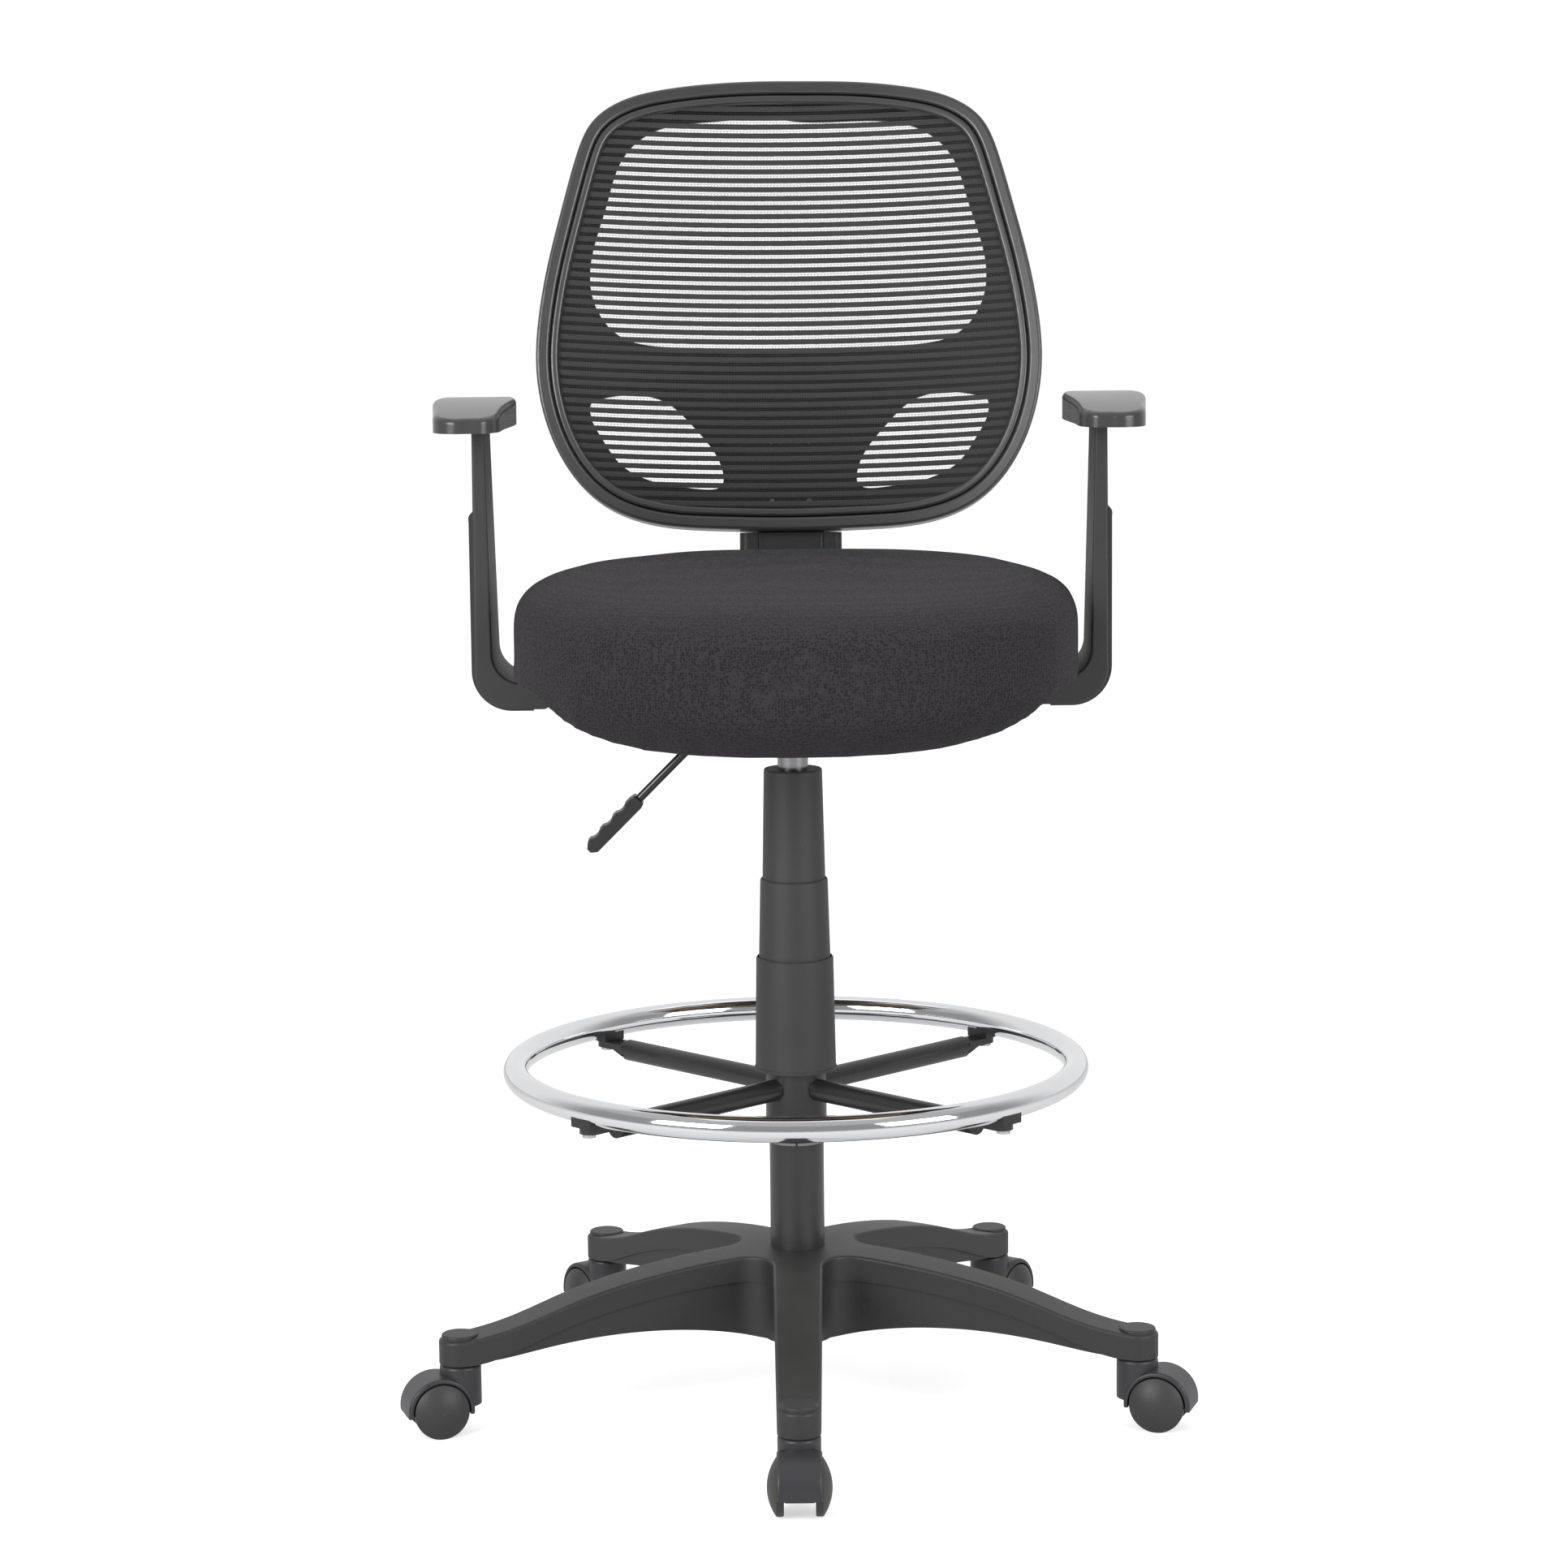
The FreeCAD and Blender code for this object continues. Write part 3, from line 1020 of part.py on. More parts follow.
def write_seat():
    write("mechanism_housing", mechanism_housing())
    write("mechanism_socket", mechanism_socket())
    write("mechanism_bolts", *[mechanism_bolt(x, y) for x, y in mechanism_bolt_places()])
    write("lever_rod", lever_rod())
    write("lever_paddle", lever_paddle())
    write("seat_pan", seat_pan())
    write("seat_cushion", seat_cushion())


def write_arms():
    right = arm()
    pad = arm_pad()
    write("arm_right", mirrored(right))
    write("arm_left", right)
    write("arm_pad_right", mirrored(pad))
    write("arm_pad_left", pad)
    bolt_head = ARM_PLATE_TOP - ARM_PLATE_THICKNESS
    bolts = [shift(screw(4.0, 7.0, 4.5, 18.0, 3.0), x, y, bolt_head) for x, y in arm_bolt_places()]
    write("arm_bolts", *(bolts + [mirrored(bolt) for bolt in bolts]))
    one = shift(screw(PAD_SCREW_RADIUS, 4.4, 2.6, 14.0, 1.6), z=PAD_BOTTOM - 0.5)
    screws = [shift(one, x, y) for x, y in pad_screw_places()]
    write("arm_pad_screws", *(screws + [mirrored(each) for each in screws]))


def write_back():
    write("back_frame", back_frame())
    write("mesh_rim", mesh_rim())
    write("mesh_panel", mesh_panel())
    write("back_shell", back_shell())
    write("back_bar", back_bar())
    write("back_bar_cover", back_bar_cover())
    write("back_screws", *[back_screw(x, z) for x, z in back_screw_places()])


os.makedirs("parts", exist_ok=True)
write_base()
write_column()
write_foot_ring()
write_seat()
write_arms()
write_back()
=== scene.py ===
"""Drafting chair: finishes, seat cushion, back mesh and a plain studio round the fixed frame.

Lengths are in metres, in the frame's own axes: up is +Z, and the chair faces -Y.
"""

import math

import bmesh
import bpy
from mathutils import Matrix, Vector
from mathutils import noise as vector_noise


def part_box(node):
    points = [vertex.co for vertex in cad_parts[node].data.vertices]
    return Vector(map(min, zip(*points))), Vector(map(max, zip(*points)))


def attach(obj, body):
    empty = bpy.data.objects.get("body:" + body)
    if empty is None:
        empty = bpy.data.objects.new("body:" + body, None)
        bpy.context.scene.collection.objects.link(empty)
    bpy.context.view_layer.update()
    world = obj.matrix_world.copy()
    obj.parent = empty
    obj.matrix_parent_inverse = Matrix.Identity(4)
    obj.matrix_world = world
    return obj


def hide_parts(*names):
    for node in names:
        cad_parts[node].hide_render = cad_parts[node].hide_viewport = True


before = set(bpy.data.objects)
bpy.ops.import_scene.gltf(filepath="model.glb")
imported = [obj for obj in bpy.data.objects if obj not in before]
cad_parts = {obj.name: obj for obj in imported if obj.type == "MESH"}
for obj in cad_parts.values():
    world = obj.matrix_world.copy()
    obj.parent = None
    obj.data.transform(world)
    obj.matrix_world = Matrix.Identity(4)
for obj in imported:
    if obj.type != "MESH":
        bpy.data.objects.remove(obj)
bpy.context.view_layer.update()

bl_info = {
    "name": "Drafting Chair Looks",
    "version": (1, 0, 0),
    "blender": (4, 5, 0),
    "location": "View3D > Sidebar > Chair",
    "description": "Finishes and soft pieces of a drafting chair with a mesh back",
    "category": "Object",
}

PAN_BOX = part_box("seat_pan")

# The back leans from this point, and its front face is part of an upright cylinder.
BACK_ORIGIN = Vector((0.0, 0.235, 0.790))
BACK_LEAN = math.radians(10.0)
BACK_FACE_RADIUS = 1.068
BACK_FACE_CENTRE = 0.028

# The cover of the cushion is simulated for this many steps, and its moves are then evened out.
CLOTH_STEPS = 20
EVENING_PASSES = 40

# The cushion's form: powers of its rounded plan, top and bottom, and the rise towards its rear.
PLAN_POWER = 2.36
TOP_POWER = 6.0
BOTTOM_POWER = 3.1
SEAT_SLOPE = 0.045


# ---- Settings -----------------------------------------------------------------------------

def colour_property(name, description, default):
    return bpy.props.FloatVectorProperty(
        name=name, description=description, default=default, subtype="COLOR", size=3, min=0.0, max=1.0)


def length_property(name, description, default):
    return bpy.props.FloatProperty(
        name=name, description=description, default=default, min=0.0, unit="LENGTH", precision=4)


class ChairFinishes(bpy.types.PropertyGroup):
    """Colours of the moulded and coated parts."""

    base: colour_property("Base", "Nylon of the five-legged base", (0.025, 0.0255, 0.025))
    hoods: colour_property("Caster hoods", "Nylon of the caster hoods", (0.030, 0.029, 0.034))
    wheels: colour_property("Wheels", "Nylon of the caster wheels", (0.035, 0.0355, 0.0355))
    covers: colour_property("Covers", "Telescopic covers of the gas lift", (0.033, 0.0335, 0.033))
    coating: colour_property("Powder coat", "Coating of the steel parts", (0.020, 0.020, 0.0205))
    arms: colour_property("Arms", "Moulded armrests", (0.028, 0.0275, 0.028))
    pads: colour_property("Arm pads", "Soft-touch arm pads", (0.050, 0.050, 0.051))
    back: colour_property("Back frame", "Outer frame of the back", (0.036, 0.0355, 0.037))
    shell: colour_property("Back shell", "Rear shell of the back", (0.0180, 0.0175, 0.0185))
    chrome: colour_property("Foot ring", "Plating of the foot ring", (0.78, 0.79, 0.81))


class ChairCushion(bpy.types.PropertyGroup):
    """Size and cloth of the seat cushion."""

    voxel: length_property("Cell", "Cell size of the cloth before it is inflated", 0.0055)
    half_width: length_property("Half width", "Half of the cushion's width", 0.2550)
    half_length: length_property("Half length", "Half of the cushion's length", 0.251)
    crown: length_property("Crown", "Height of the top above the widest line", 0.0600)
    belly: length_property("Belly", "Depth of the front roll below the widest line", 0.0865)
    middle: bpy.props.FloatVectorProperty(
        name="Middle", description="Middle of the widest line", default=(0.004, -0.031, 0.7095), size=3,
        subtype="TRANSLATION", unit="LENGTH")
    cut: bpy.props.FloatProperty(
        name="Cut", description="Size of the cover's cut against the finished cushion", default=1.0,
        min=0.9, max=1.0, subtype="FACTOR")
    pressure: bpy.props.FloatProperty(
        name="Pressure", description="Push of the foam on its cover", default=4.0, min=0.0, max=20.0)
    travel: length_property("Largest swell", "How far the cover may move out", 0.003)
    hollow: length_property("Hollow", "Depth of the sitter's hollow in the top", 0.006)
    pucker: length_property("Pucker", "Depth of the gathers along the stapled edge", 0.0012)
    cloth: colour_property("Cloth", "Knitted seat cloth", (0.0240, 0.0216, 0.0245))
    knit: length_property("Knit", "Width of one cell of the knit", 0.0024)


class ChairMesh(bpy.types.PropertyGroup):
    """Striped knit stretched over the back."""

    depth: length_property("Depth", "How far the knit lies behind the rim's front", 0.0052)
    pitch: length_property("Stripe pitch", "Height of one dark stripe and one open stripe", 0.0087)
    band: bpy.props.FloatProperty(
        name="Dark share", description="Dark part of a stripe's pitch", default=0.60, min=0.1, max=0.9,
        subtype="FACTOR")
    sag: length_property("Sag", "How far the stripes bow down in the middle", 0.006)
    yarn: colour_property("Yarn", "Yarn of the knit", (0.042, 0.041, 0.043))


class ChairStage(bpy.types.PropertyGroup):
    """Floor, light and camera."""

    floor: colour_property("Floor", "Pale studio floor", (0.86, 0.86, 0.86))
    glow: bpy.props.FloatProperty(
        name="Glow", description="Light that the floor gives by itself", default=0.55, min=0.0,
        subtype="FACTOR")
    key: bpy.props.FloatProperty(
        name="Key light", description="Power of the large light on the left", default=95.0, min=0.0,
        unit="POWER")
    fill: bpy.props.FloatProperty(
        name="Fill light", description="Power of the light on the right", default=60.0, min=0.0, unit="POWER")
    top: bpy.props.FloatProperty(
        name="Top light", description="Power of the overhead light", default=8.0, min=0.0, unit="POWER")
    place: bpy.props.FloatVectorProperty(
        name="Camera", description="Where the camera stands", default=(0.0045, -3.7254, 1.1412), size=3,
        subtype="TRANSLATION", unit="LENGTH")
    pitch: bpy.props.FloatProperty(
        name="Pitch", description="How far the camera looks down", default=0.1507, unit="ROTATION")
    yaw: bpy.props.FloatProperty(
        name="Yaw", description="How far the camera turns to its left", default=0.0034, unit="ROTATION")
    roll: bpy.props.FloatProperty(
        name="Roll", description="How far the camera leans", default=-0.0106, unit="ROTATION")
    lens: bpy.props.FloatProperty(
        name="Lens", description="Focal length on a 36 mm sensor", default=95.07, min=1.0, unit="CAMERA")


# ---- Node helpers -------------------------------------------------------------------------

def add(tree, kind, inputs=None, **settings):
    """One node. An input that is a socket is linked, and any other is set."""
    node = tree.nodes.new(kind)
    for name, value in settings.items():
        setattr(node, name, value)
    for name, value in (inputs or {}).items():
        if isinstance(value, bpy.types.NodeSocket):
            tree.links.new(value, node.inputs[name])
        else:
            node.inputs[name].default_value = value
    return node


def calc(tree, operation, *values, clamp=False):
    node = add(tree, "ShaderNodeMath", dict(enumerate(values)), operation=operation)
    node.use_clamp = clamp
    return node.outputs[0]


def vector_calc(tree, operation, *values):
    return add(tree, "ShaderNodeVectorMath", dict(enumerate(values)), operation=operation).outputs[0]


def remap(tree, value, low, high, new_low, new_high):
    inputs = {"Value": value, "From Min": low, "From Max": high, "To Min": new_low, "To Max": new_high}
    return add(tree, "ShaderNodeMapRange", inputs, interpolation_type="SMOOTHSTEP").outputs[0]


def mix_colour(tree, factor, first, second, blend="MIX"):
    node = add(tree, "ShaderNodeMix", data_type="RGBA", blend_type=blend)
    for socket, value in ((node.inputs[0], factor), (node.inputs[6], first), (node.inputs[7], second)):
        if isinstance(value, bpy.types.NodeSocket):
            tree.links.new(value, socket)
        else:
            socket.default_value = value
    return node.outputs[2]


def times(tree, colour, gain):
    """A colour made lighter or darker by a value."""
    grey = add(tree, "ShaderNodeCombineXYZ", {0: gain, 1: gain, 2: gain}).outputs[0]
    return vector_calc(tree, "MULTIPLY", colour, grey)


def noise(tree, where, scale, detail=2.0, roughness=0.5):
    inputs = {"Vector": where, "Scale": scale, "Detail": detail, "Roughness": roughness}
    return add(tree, "ShaderNodeTexNoise", inputs).outputs[0]


def group(name, inputs, outputs):
    """Empty node group with named sockets, and its input and output nodes."""
    tree = bpy.data.node_groups.new(name, "ShaderNodeTree")
    for socket, kind, default in inputs:
        made = tree.interface.new_socket(socket, in_out="INPUT", socket_type=kind)
        if default is not None:
            made.default_value = default
    for socket, kind in outputs:
        tree.interface.new_socket(socket, in_out="OUTPUT", socket_type=kind)
    return tree, tree.nodes.new("NodeGroupInput").outputs, tree.nodes.new("NodeGroupOutput").inputs


FLOAT = "NodeSocketFloat"
COLOUR = "NodeSocketColor"
VECTOR = "NodeSocketVector"


def moulded_group():
    """Spark-eroded grain of moulded plastic, with slow changes of shade and gloss."""
    name = "Moulded grain"
    if name in bpy.data.node_groups:
        return bpy.data.node_groups[name]
    tree, given, out = group(
        name,
        [("Colour", COLOUR, None), ("Shade", FLOAT, 0.12), ("Roughness", FLOAT, 0.5),
         ("Gloss change", FLOAT, 0.08), ("Grain size", FLOAT, 0.0006), ("Dust", FLOAT, 0.0)],
        [("Colour", COLOUR), ("Roughness", FLOAT), ("Height", FLOAT)])
    where = add(tree, "ShaderNodeTexCoord").outputs["Object"]
    fine = calc(tree, "DIVIDE", 1.0, given["Grain size"])
    grain = noise(tree, where, fine, 3.0, 0.6)
    pits = add(tree, "ShaderNodeTexVoronoi", {"Vector": where, "Scale": calc(tree, "MULTIPLY", fine, 0.7)})
    patches = noise(tree, where, 14.0, 3.0, 0.55)
    clouds = noise(tree, where, 3.5, 1.0, 0.5)
    bumps = calc(tree, "MULTIPLY", grain, 0.7)
    height = calc(tree, "ADD", bumps, calc(tree, "MULTIPLY", pits.outputs[0], 0.5))
    slow = calc(tree, "ADD", calc(tree, "MULTIPLY", patches, 0.5), calc(tree, "MULTIPLY", clouds, 0.5))
    speck = calc(tree, "MULTIPLY", calc(tree, "SUBTRACT", grain, 0.5), 0.5)
    change = calc(tree, "ADD", calc(tree, "SUBTRACT", slow, 0.5), speck)
    gain = calc(tree, "ADD", 1.0, calc(tree, "MULTIPLY", calc(tree, "MULTIPLY", change, given["Shade"]), 4.0))
    shade = times(tree, given["Colour"], gain)
    normal = add(tree, "ShaderNodeNewGeometry").outputs["Normal"]
    up = add(tree, "ShaderNodeSeparateXYZ", {0: normal}).outputs[2]
    level = remap(tree, up, 0.35, 1.0, 0.0, 1.0)
    settled = calc(tree, "MULTIPLY", level, remap(tree, patches, 0.35, 0.75, 0.3, 1.0))
    dust = calc(tree, "MULTIPLY", settled, given["Dust"], clamp=True)
    tree.links.new(mix_colour(tree, dust, shade, (0.30, 0.29, 0.28, 1.0)), out["Colour"])
    rough = calc(tree, "ADD", given["Roughness"], calc(tree, "MULTIPLY", change, given["Gloss change"]))
    rough = calc(tree, "ADD", rough, calc(tree, "MULTIPLY", dust, 0.2), clamp=True)
    tree.links.new(rough, out["Roughness"])
    tree.links.new(height, out["Height"])
    return tree


def turned_group():
    """Fine rings that grinding or turning leaves round an upright metal part, and faint smears."""
    name = "Turned metal"
    if name in bpy.data.node_groups:
        return bpy.data.node_groups[name]
    tree, given, out = group(
        name,
        [("Rings", FLOAT, 5000.0), ("Roughness", FLOAT, 0.2), ("Change", FLOAT, 0.1), ("Smears", FLOAT, 0.1)],
        [("Roughness", FLOAT), ("Height", FLOAT)])
    where = add(tree, "ShaderNodeTexCoord").outputs["Object"]
    along = add(tree, "ShaderNodeSeparateXYZ", {0: where}).outputs[2]
    stretched = add(tree, "ShaderNodeCombineXYZ", {0: 0.0, 1: 0.0, 2: along}).outputs[0]
    rings = noise(tree, stretched, given["Rings"], 2.0, 0.7)
    smears = noise(tree, where, 60.0, 4.0, 0.6)
    change = calc(tree, "MULTIPLY", calc(tree, "SUBTRACT", rings, 0.5), given["Change"])
    smear = calc(tree, "MULTIPLY", calc(tree, "SUBTRACT", smears, 0.45), given["Smears"])
    rough = calc(tree, "ADD", given["Roughness"], calc(tree, "ADD", change, smear), clamp=True)
    tree.links.new(rough, out["Roughness"])
    tree.links.new(rings, out["Height"])
    return tree


def crepe_group():
    """Small honeycomb cells of a knitted crepe cloth, with painted shade in the cells' hollows, yarn fuzz and
    slow changes of tone.
    """
    name = "Crepe knit"
    if name in bpy.data.node_groups:
        return bpy.data.node_groups[name]
    # Contrast sets the strength of the painted shade between the cells' raised walls and their hollows.
    tree, given, out = group(
        name, [("Colour", COLOUR, None), ("Cell", FLOAT, 0.0024), ("Contrast", FLOAT, 0.9)],
        [("Colour", COLOUR), ("Roughness", FLOAT), ("Height", FLOAT)])
    where = add(tree, "ShaderNodeTexCoord").outputs["Object"]
    drift = add(tree, "ShaderNodeTexNoise", {"Vector": where, "Scale": 90.0, "Detail": 1.0}).outputs["Color"]
    wander = vector_calc(tree, "SUBTRACT", drift, (0.5, 0.5, 0.5))
    bent = vector_calc(tree, "ADD", where, add(
        tree, "ShaderNodeVectorMath", {0: wander, "Scale": 0.003}, operation="SCALE").outputs[0])
    scale = calc(tree, "DIVIDE", 1.0, given["Cell"])
    cells = add(tree, "ShaderNodeTexVoronoi", {"Vector": bent, "Scale": scale, "Randomness": 0.6})
    walls = remap(tree, cells.outputs[0], 0.15, 0.65, 0.0, 1.0)
    fuzz = noise(tree, where, 2600.0, 2.0, 0.7)
    tone = noise(tree, where, 9.0, 3.0, 0.6)
    height = calc(tree, "ADD", walls, calc(tree, "MULTIPLY", fuzz, 0.45))
    # Painted shade: the colour is darker in the low middles of the cells and lighter on their raised walls,
    # just as the bump is; the fuzz and slow tone changes added to it are random.
    light = calc(tree, "ADD", calc(tree, "MULTIPLY", calc(tree, "SUBTRACT", walls, 0.4), given["Contrast"]),
                 calc(tree, "MULTIPLY", calc(tree, "SUBTRACT", fuzz, 0.5), 0.7))
    light = calc(tree, "ADD", calc(tree, "ADD", 1.0, light), calc(tree, "MULTIPLY", calc(
        tree, "SUBTRACT", tone, 0.5), 0.35))
    tint = times(tree, given["Colour"], light)
    tree.links.new(tint, out["Colour"])
    tree.links.new(remap(tree, height, 0.0, 1.4, 0.97, 0.84), out["Roughness"])
    tree.links.new(height, out["Height"])
    return tree


def stripes_group():
    """Open striped knit: close bands of loops, with painted shade between the loops, and between the bands
    fine threads that run in a zigzag.
    """
    name = "Striped knit"
    if name in bpy.data.node_groups:
        return bpy.data.node_groups[name]
    tree, given, out = group(
        name,
        [("Place", VECTOR, None), ("Colour", COLOUR, None), ("Pitch", FLOAT, 0.0087),
         ("Dark share", FLOAT, 0.55), ("Thread", FLOAT, 0.00035), ("Wale", FLOAT, 0.0016)],
        [("Colour", COLOUR), ("Alpha", FLOAT), ("Roughness", FLOAT), ("Height", FLOAT)])
    split = add(tree, "ShaderNodeSeparateXYZ", {0: given["Place"]}).outputs
    across, up = split[0], split[1]
    turn = calc(tree, "DIVIDE", up, given["Pitch"])
    waver = calc(tree, "SUBTRACT", noise(tree, given["Place"], 220.0, 2.0), 0.5)
    ripple = calc(tree, "MULTIPLY", waver, 0.07)
    phase = calc(tree, "FRACT", calc(tree, "ADD", turn, ripple))
    from_middle = calc(tree, "ABSOLUTE", calc(tree, "SUBTRACT", phase, 0.5))
    half = calc(tree, "MULTIPLY", given["Dark share"], 0.5)
    band = remap(tree, calc(tree, "SUBTRACT", from_middle, half), -0.03, 0.03, 1.0, 0.0)
    # Threads of the open stripe: fine ones that cross it, and one that zigzags along its middle.
    wale = calc(tree, "DIVIDE", across, given["Wale"])
    slant = calc(tree, "PINGPONG", calc(tree, "MULTIPLY", phase, 2.4), 1.0)
    wave = calc(tree, "PINGPONG", wale, 1.0)
    off = calc(tree, "ABSOLUTE", calc(tree, "SUBTRACT", wave, slant))
    apart = calc(tree, "MULTIPLY", off, given["Wale"])
    crossing = remap(tree, calc(tree, "DIVIDE", apart, given["Thread"]), 0.12, 0.32, 0.7, 0.0)
    side = calc(tree, "SUBTRACT", calc(tree, "FRACT", calc(tree, "ADD", phase, 0.5)), 0.5)
    swing = calc(tree, "MULTIPLY", calc(tree, "SUBTRACT", wave, 0.5), 0.09)
    beside = calc(tree, "ABSOLUTE", calc(tree, "SUBTRACT", side, swing))
    aside = calc(tree, "MULTIPLY", beside, given["Pitch"])
    along = remap(tree, calc(tree, "DIVIDE", aside, given["Thread"]), 0.30, 0.65, 0.9, 0.0)
    thread = calc(tree, "MAXIMUM", crossing, along)
    # Loops of the dark stripe: upright wales with a row of loops down each.
    loops = calc(tree, "SINE", calc(tree, "MULTIPLY", wale, 2.0 * math.pi))
    rows = calc(tree, "SINE", calc(tree, "MULTIPLY", turn, 12.0 * math.pi))
    relief = calc(tree, "MULTIPLY_ADD", loops, 0.25, calc(tree, "MULTIPLY_ADD", rows, 0.2, 0.5))
    towards_edge = calc(tree, "DIVIDE", from_middle, half)
    round_band = calc(tree, "SUBTRACT", 1.0, calc(tree, "POWER", towards_edge, 2.0))
    height = calc(tree, "ADD", calc(tree, "MULTIPLY", round_band, 1.6), relief)
    tree.links.new(calc(tree, "MAXIMUM", band, thread), out["Alpha"])
    fuzz = noise(tree, given["Place"], 2400.0, 2.0, 0.6)
    # Painted highlight and painted shade: the yarn is lighter on the crests of the loops and darker between
    # them, just as the bump is; the fuzz added to it is random.
    light = calc(tree, "ADD", remap(tree, relief, 0.0, 1.0, 0.45, 1.5), calc(tree, "SUBTRACT", fuzz, 0.5))
    tint = times(tree, given["Colour"], light)
    tree.links.new(tint, out["Colour"])
    tree.links.new(remap(tree, fuzz, 0.2, 0.8, 0.6, 0.85), out["Roughness"])
    tree.links.new(height, out["Height"])
    return tree


# ---- Materials ----------------------------------------------------------------------------

def rgba(colour):
    return (*colour, 1.0)


def blank(name):
    """New material's tree and shader."""
    material = bpy.data.materials.new(name)
    material.use_nodes = True
    tree = material.node_tree
    return material, tree, tree.nodes["Principled BSDF"]


def join_bump(tree, shader, height, strength, distance):
    bump = add(tree, "ShaderNodeBump", {"Height": height, "Strength": strength, "Distance": distance})
    tree.links.new(bump.outputs[0], shader.inputs["Normal"])


def moulded(name, colour, roughness, grain=0.0006, bump=0.35, shade=0.10, dust=0.0, specular=0.5):
    """Moulded plastic or powder coat."""
    material, tree, shader = blank(name)
    effect = add(tree, "ShaderNodeGroup", node_tree=moulded_group())
    for socket, value in (("Colour", rgba(colour)), ("Shade", shade), ("Roughness", roughness),
                          ("Grain size", grain), ("Dust", dust)):
        effect.inputs[socket].default_value = value
    tree.links.new(effect.outputs["Colour"], shader.inputs["Base Color"])
    tree.links.new(effect.outputs["Roughness"], shader.inputs["Roughness"])
    shader.inputs["Specular IOR Level"].default_value = specular
    join_bump(tree, shader, effect.outputs["Height"], bump, 0.0002)
    return material


def metal(name, colour, roughness, rings=5000.0, change=0.1, smears=0.1, bump=0.1):
    """Bare or plated metal."""
    material, tree, shader = blank(name)
    effect = add(tree, "ShaderNodeGroup", node_tree=turned_group())
    for socket, value in (("Rings", rings), ("Roughness", roughness), ("Change", change), ("Smears", smears)):
        effect.inputs[socket].default_value = value
    shader.inputs["Base Color"].default_value = rgba(colour)
    shader.inputs["Metallic"].default_value = 1.0
    tree.links.new(effect.outputs["Roughness"], shader.inputs["Roughness"])
    join_bump(tree, shader, effect.outputs["Height"], bump, 0.0001)
    return material


def plywood(name):
    """Birch plywood: long grain on the faces, and plies on the edge."""
    material, tree, shader = blank(name)
    where = add(tree, "ShaderNodeTexCoord").outputs["Object"]
    drawn = vector_calc(tree, "MULTIPLY", where, (60.0, 4.0, 60.0))
    grain = noise(tree, drawn, 3.0, 5.0, 0.65)
    plies = calc(tree, "PINGPONG", add(tree, "ShaderNodeSeparateXYZ", {0: where}).outputs[2], 0.0015)
    dark = remap(tree, plies, 0.0004, 0.0011, 0.0, 1.0)
    normal = add(tree, "ShaderNodeNewGeometry").outputs["Normal"]
    facing = add(tree, "ShaderNodeSeparateXYZ", {0: normal}).outputs[2]
    edge = calc(tree, "SUBTRACT", 1.0, calc(tree, "ABSOLUTE", facing), clamp=True)
    face = mix_colour(tree, grain, (0.33, 0.20, 0.10, 1.0), (0.60, 0.43, 0.25, 1.0))
    side = mix_colour(tree, dark, (0.26, 0.15, 0.08, 1.0), (0.55, 0.40, 0.24, 1.0))
    tree.links.new(mix_colour(tree, edge, face, side), shader.inputs["Base Color"])
    tree.links.new(remap(tree, grain, 0.2, 0.8, 0.62, 0.48), shader.inputs["Roughness"])
    join_bump(tree, shader, grain, 0.2, 0.0003)
    return material


def seat_cloth(name, settings):
    material, tree, shader = blank(name)
    effect = add(tree, "ShaderNodeGroup", node_tree=crepe_group())
    effect.inputs["Colour"].default_value = rgba(settings.cloth)
    effect.inputs["Cell"].default_value = settings.knit
    tree.links.new(effect.outputs["Colour"], shader.inputs["Base Color"])
    tree.links.new(effect.outputs["Roughness"], shader.inputs["Roughness"])
    shader.inputs["Specular IOR Level"].default_value = 0.15
    shader.inputs["Sheen Weight"].default_value = 0.05
    shader.inputs["Sheen Roughness"].default_value = 0.55
    shader.inputs["Sheen Tint"].default_value = (0.78, 0.74, 0.80, 1.0)
    join_bump(tree, shader, effect.outputs["Height"], 0.55, 0.0006)
    return material


def back_cloth(name, settings):
    material, tree, shader = blank(name)
    effect = add(tree, "ShaderNodeGroup", node_tree=stripes_group())
    tree.links.new(add(tree, "ShaderNodeUVMap", uv_map="Knit").outputs[0], effect.inputs["Place"])
    effect.inputs["Colour"].default_value = rgba(settings.yarn)
    effect.inputs["Pitch"].default_value = settings.pitch
    effect.inputs["Dark share"].default_value = settings.band
    for socket, target in (("Colour", "Base Color"), ("Alpha", "Alpha"), ("Roughness", "Roughness")):
        tree.links.new(effect.outputs[socket], shader.inputs[target])
    shader.inputs["Specular IOR Level"].default_value = 0.3
    shader.inputs["Sheen Weight"].default_value = 0.1
    join_bump(tree, shader, effect.outputs["Height"], 0.5, 0.0004)
    return material


def finish(material, *names):
    """Gives CAD nodes a finish."""
    for name in names:
        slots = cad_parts[name].material_slots
        if not slots:
            raise RuntimeError(f"{name} has no material slot")
        for slot in slots:
            slot.material = material


# ---- Pieces -------------------------------------------------------------------------------

def new_object(name, mesh):
    piece = bpy.data.objects.new(name, mesh)
    bpy.context.scene.collection.objects.link(piece)
    return piece


def only(piece):
    """Makes a piece the one that is selected and active."""
    for other in bpy.context.selected_objects:
        other.select_set(False)
    piece.select_set(True)
    bpy.context.view_layer.objects.active = piece


def shade_smooth(mesh):
    for face in mesh.polygons:
        face.use_smooth = True


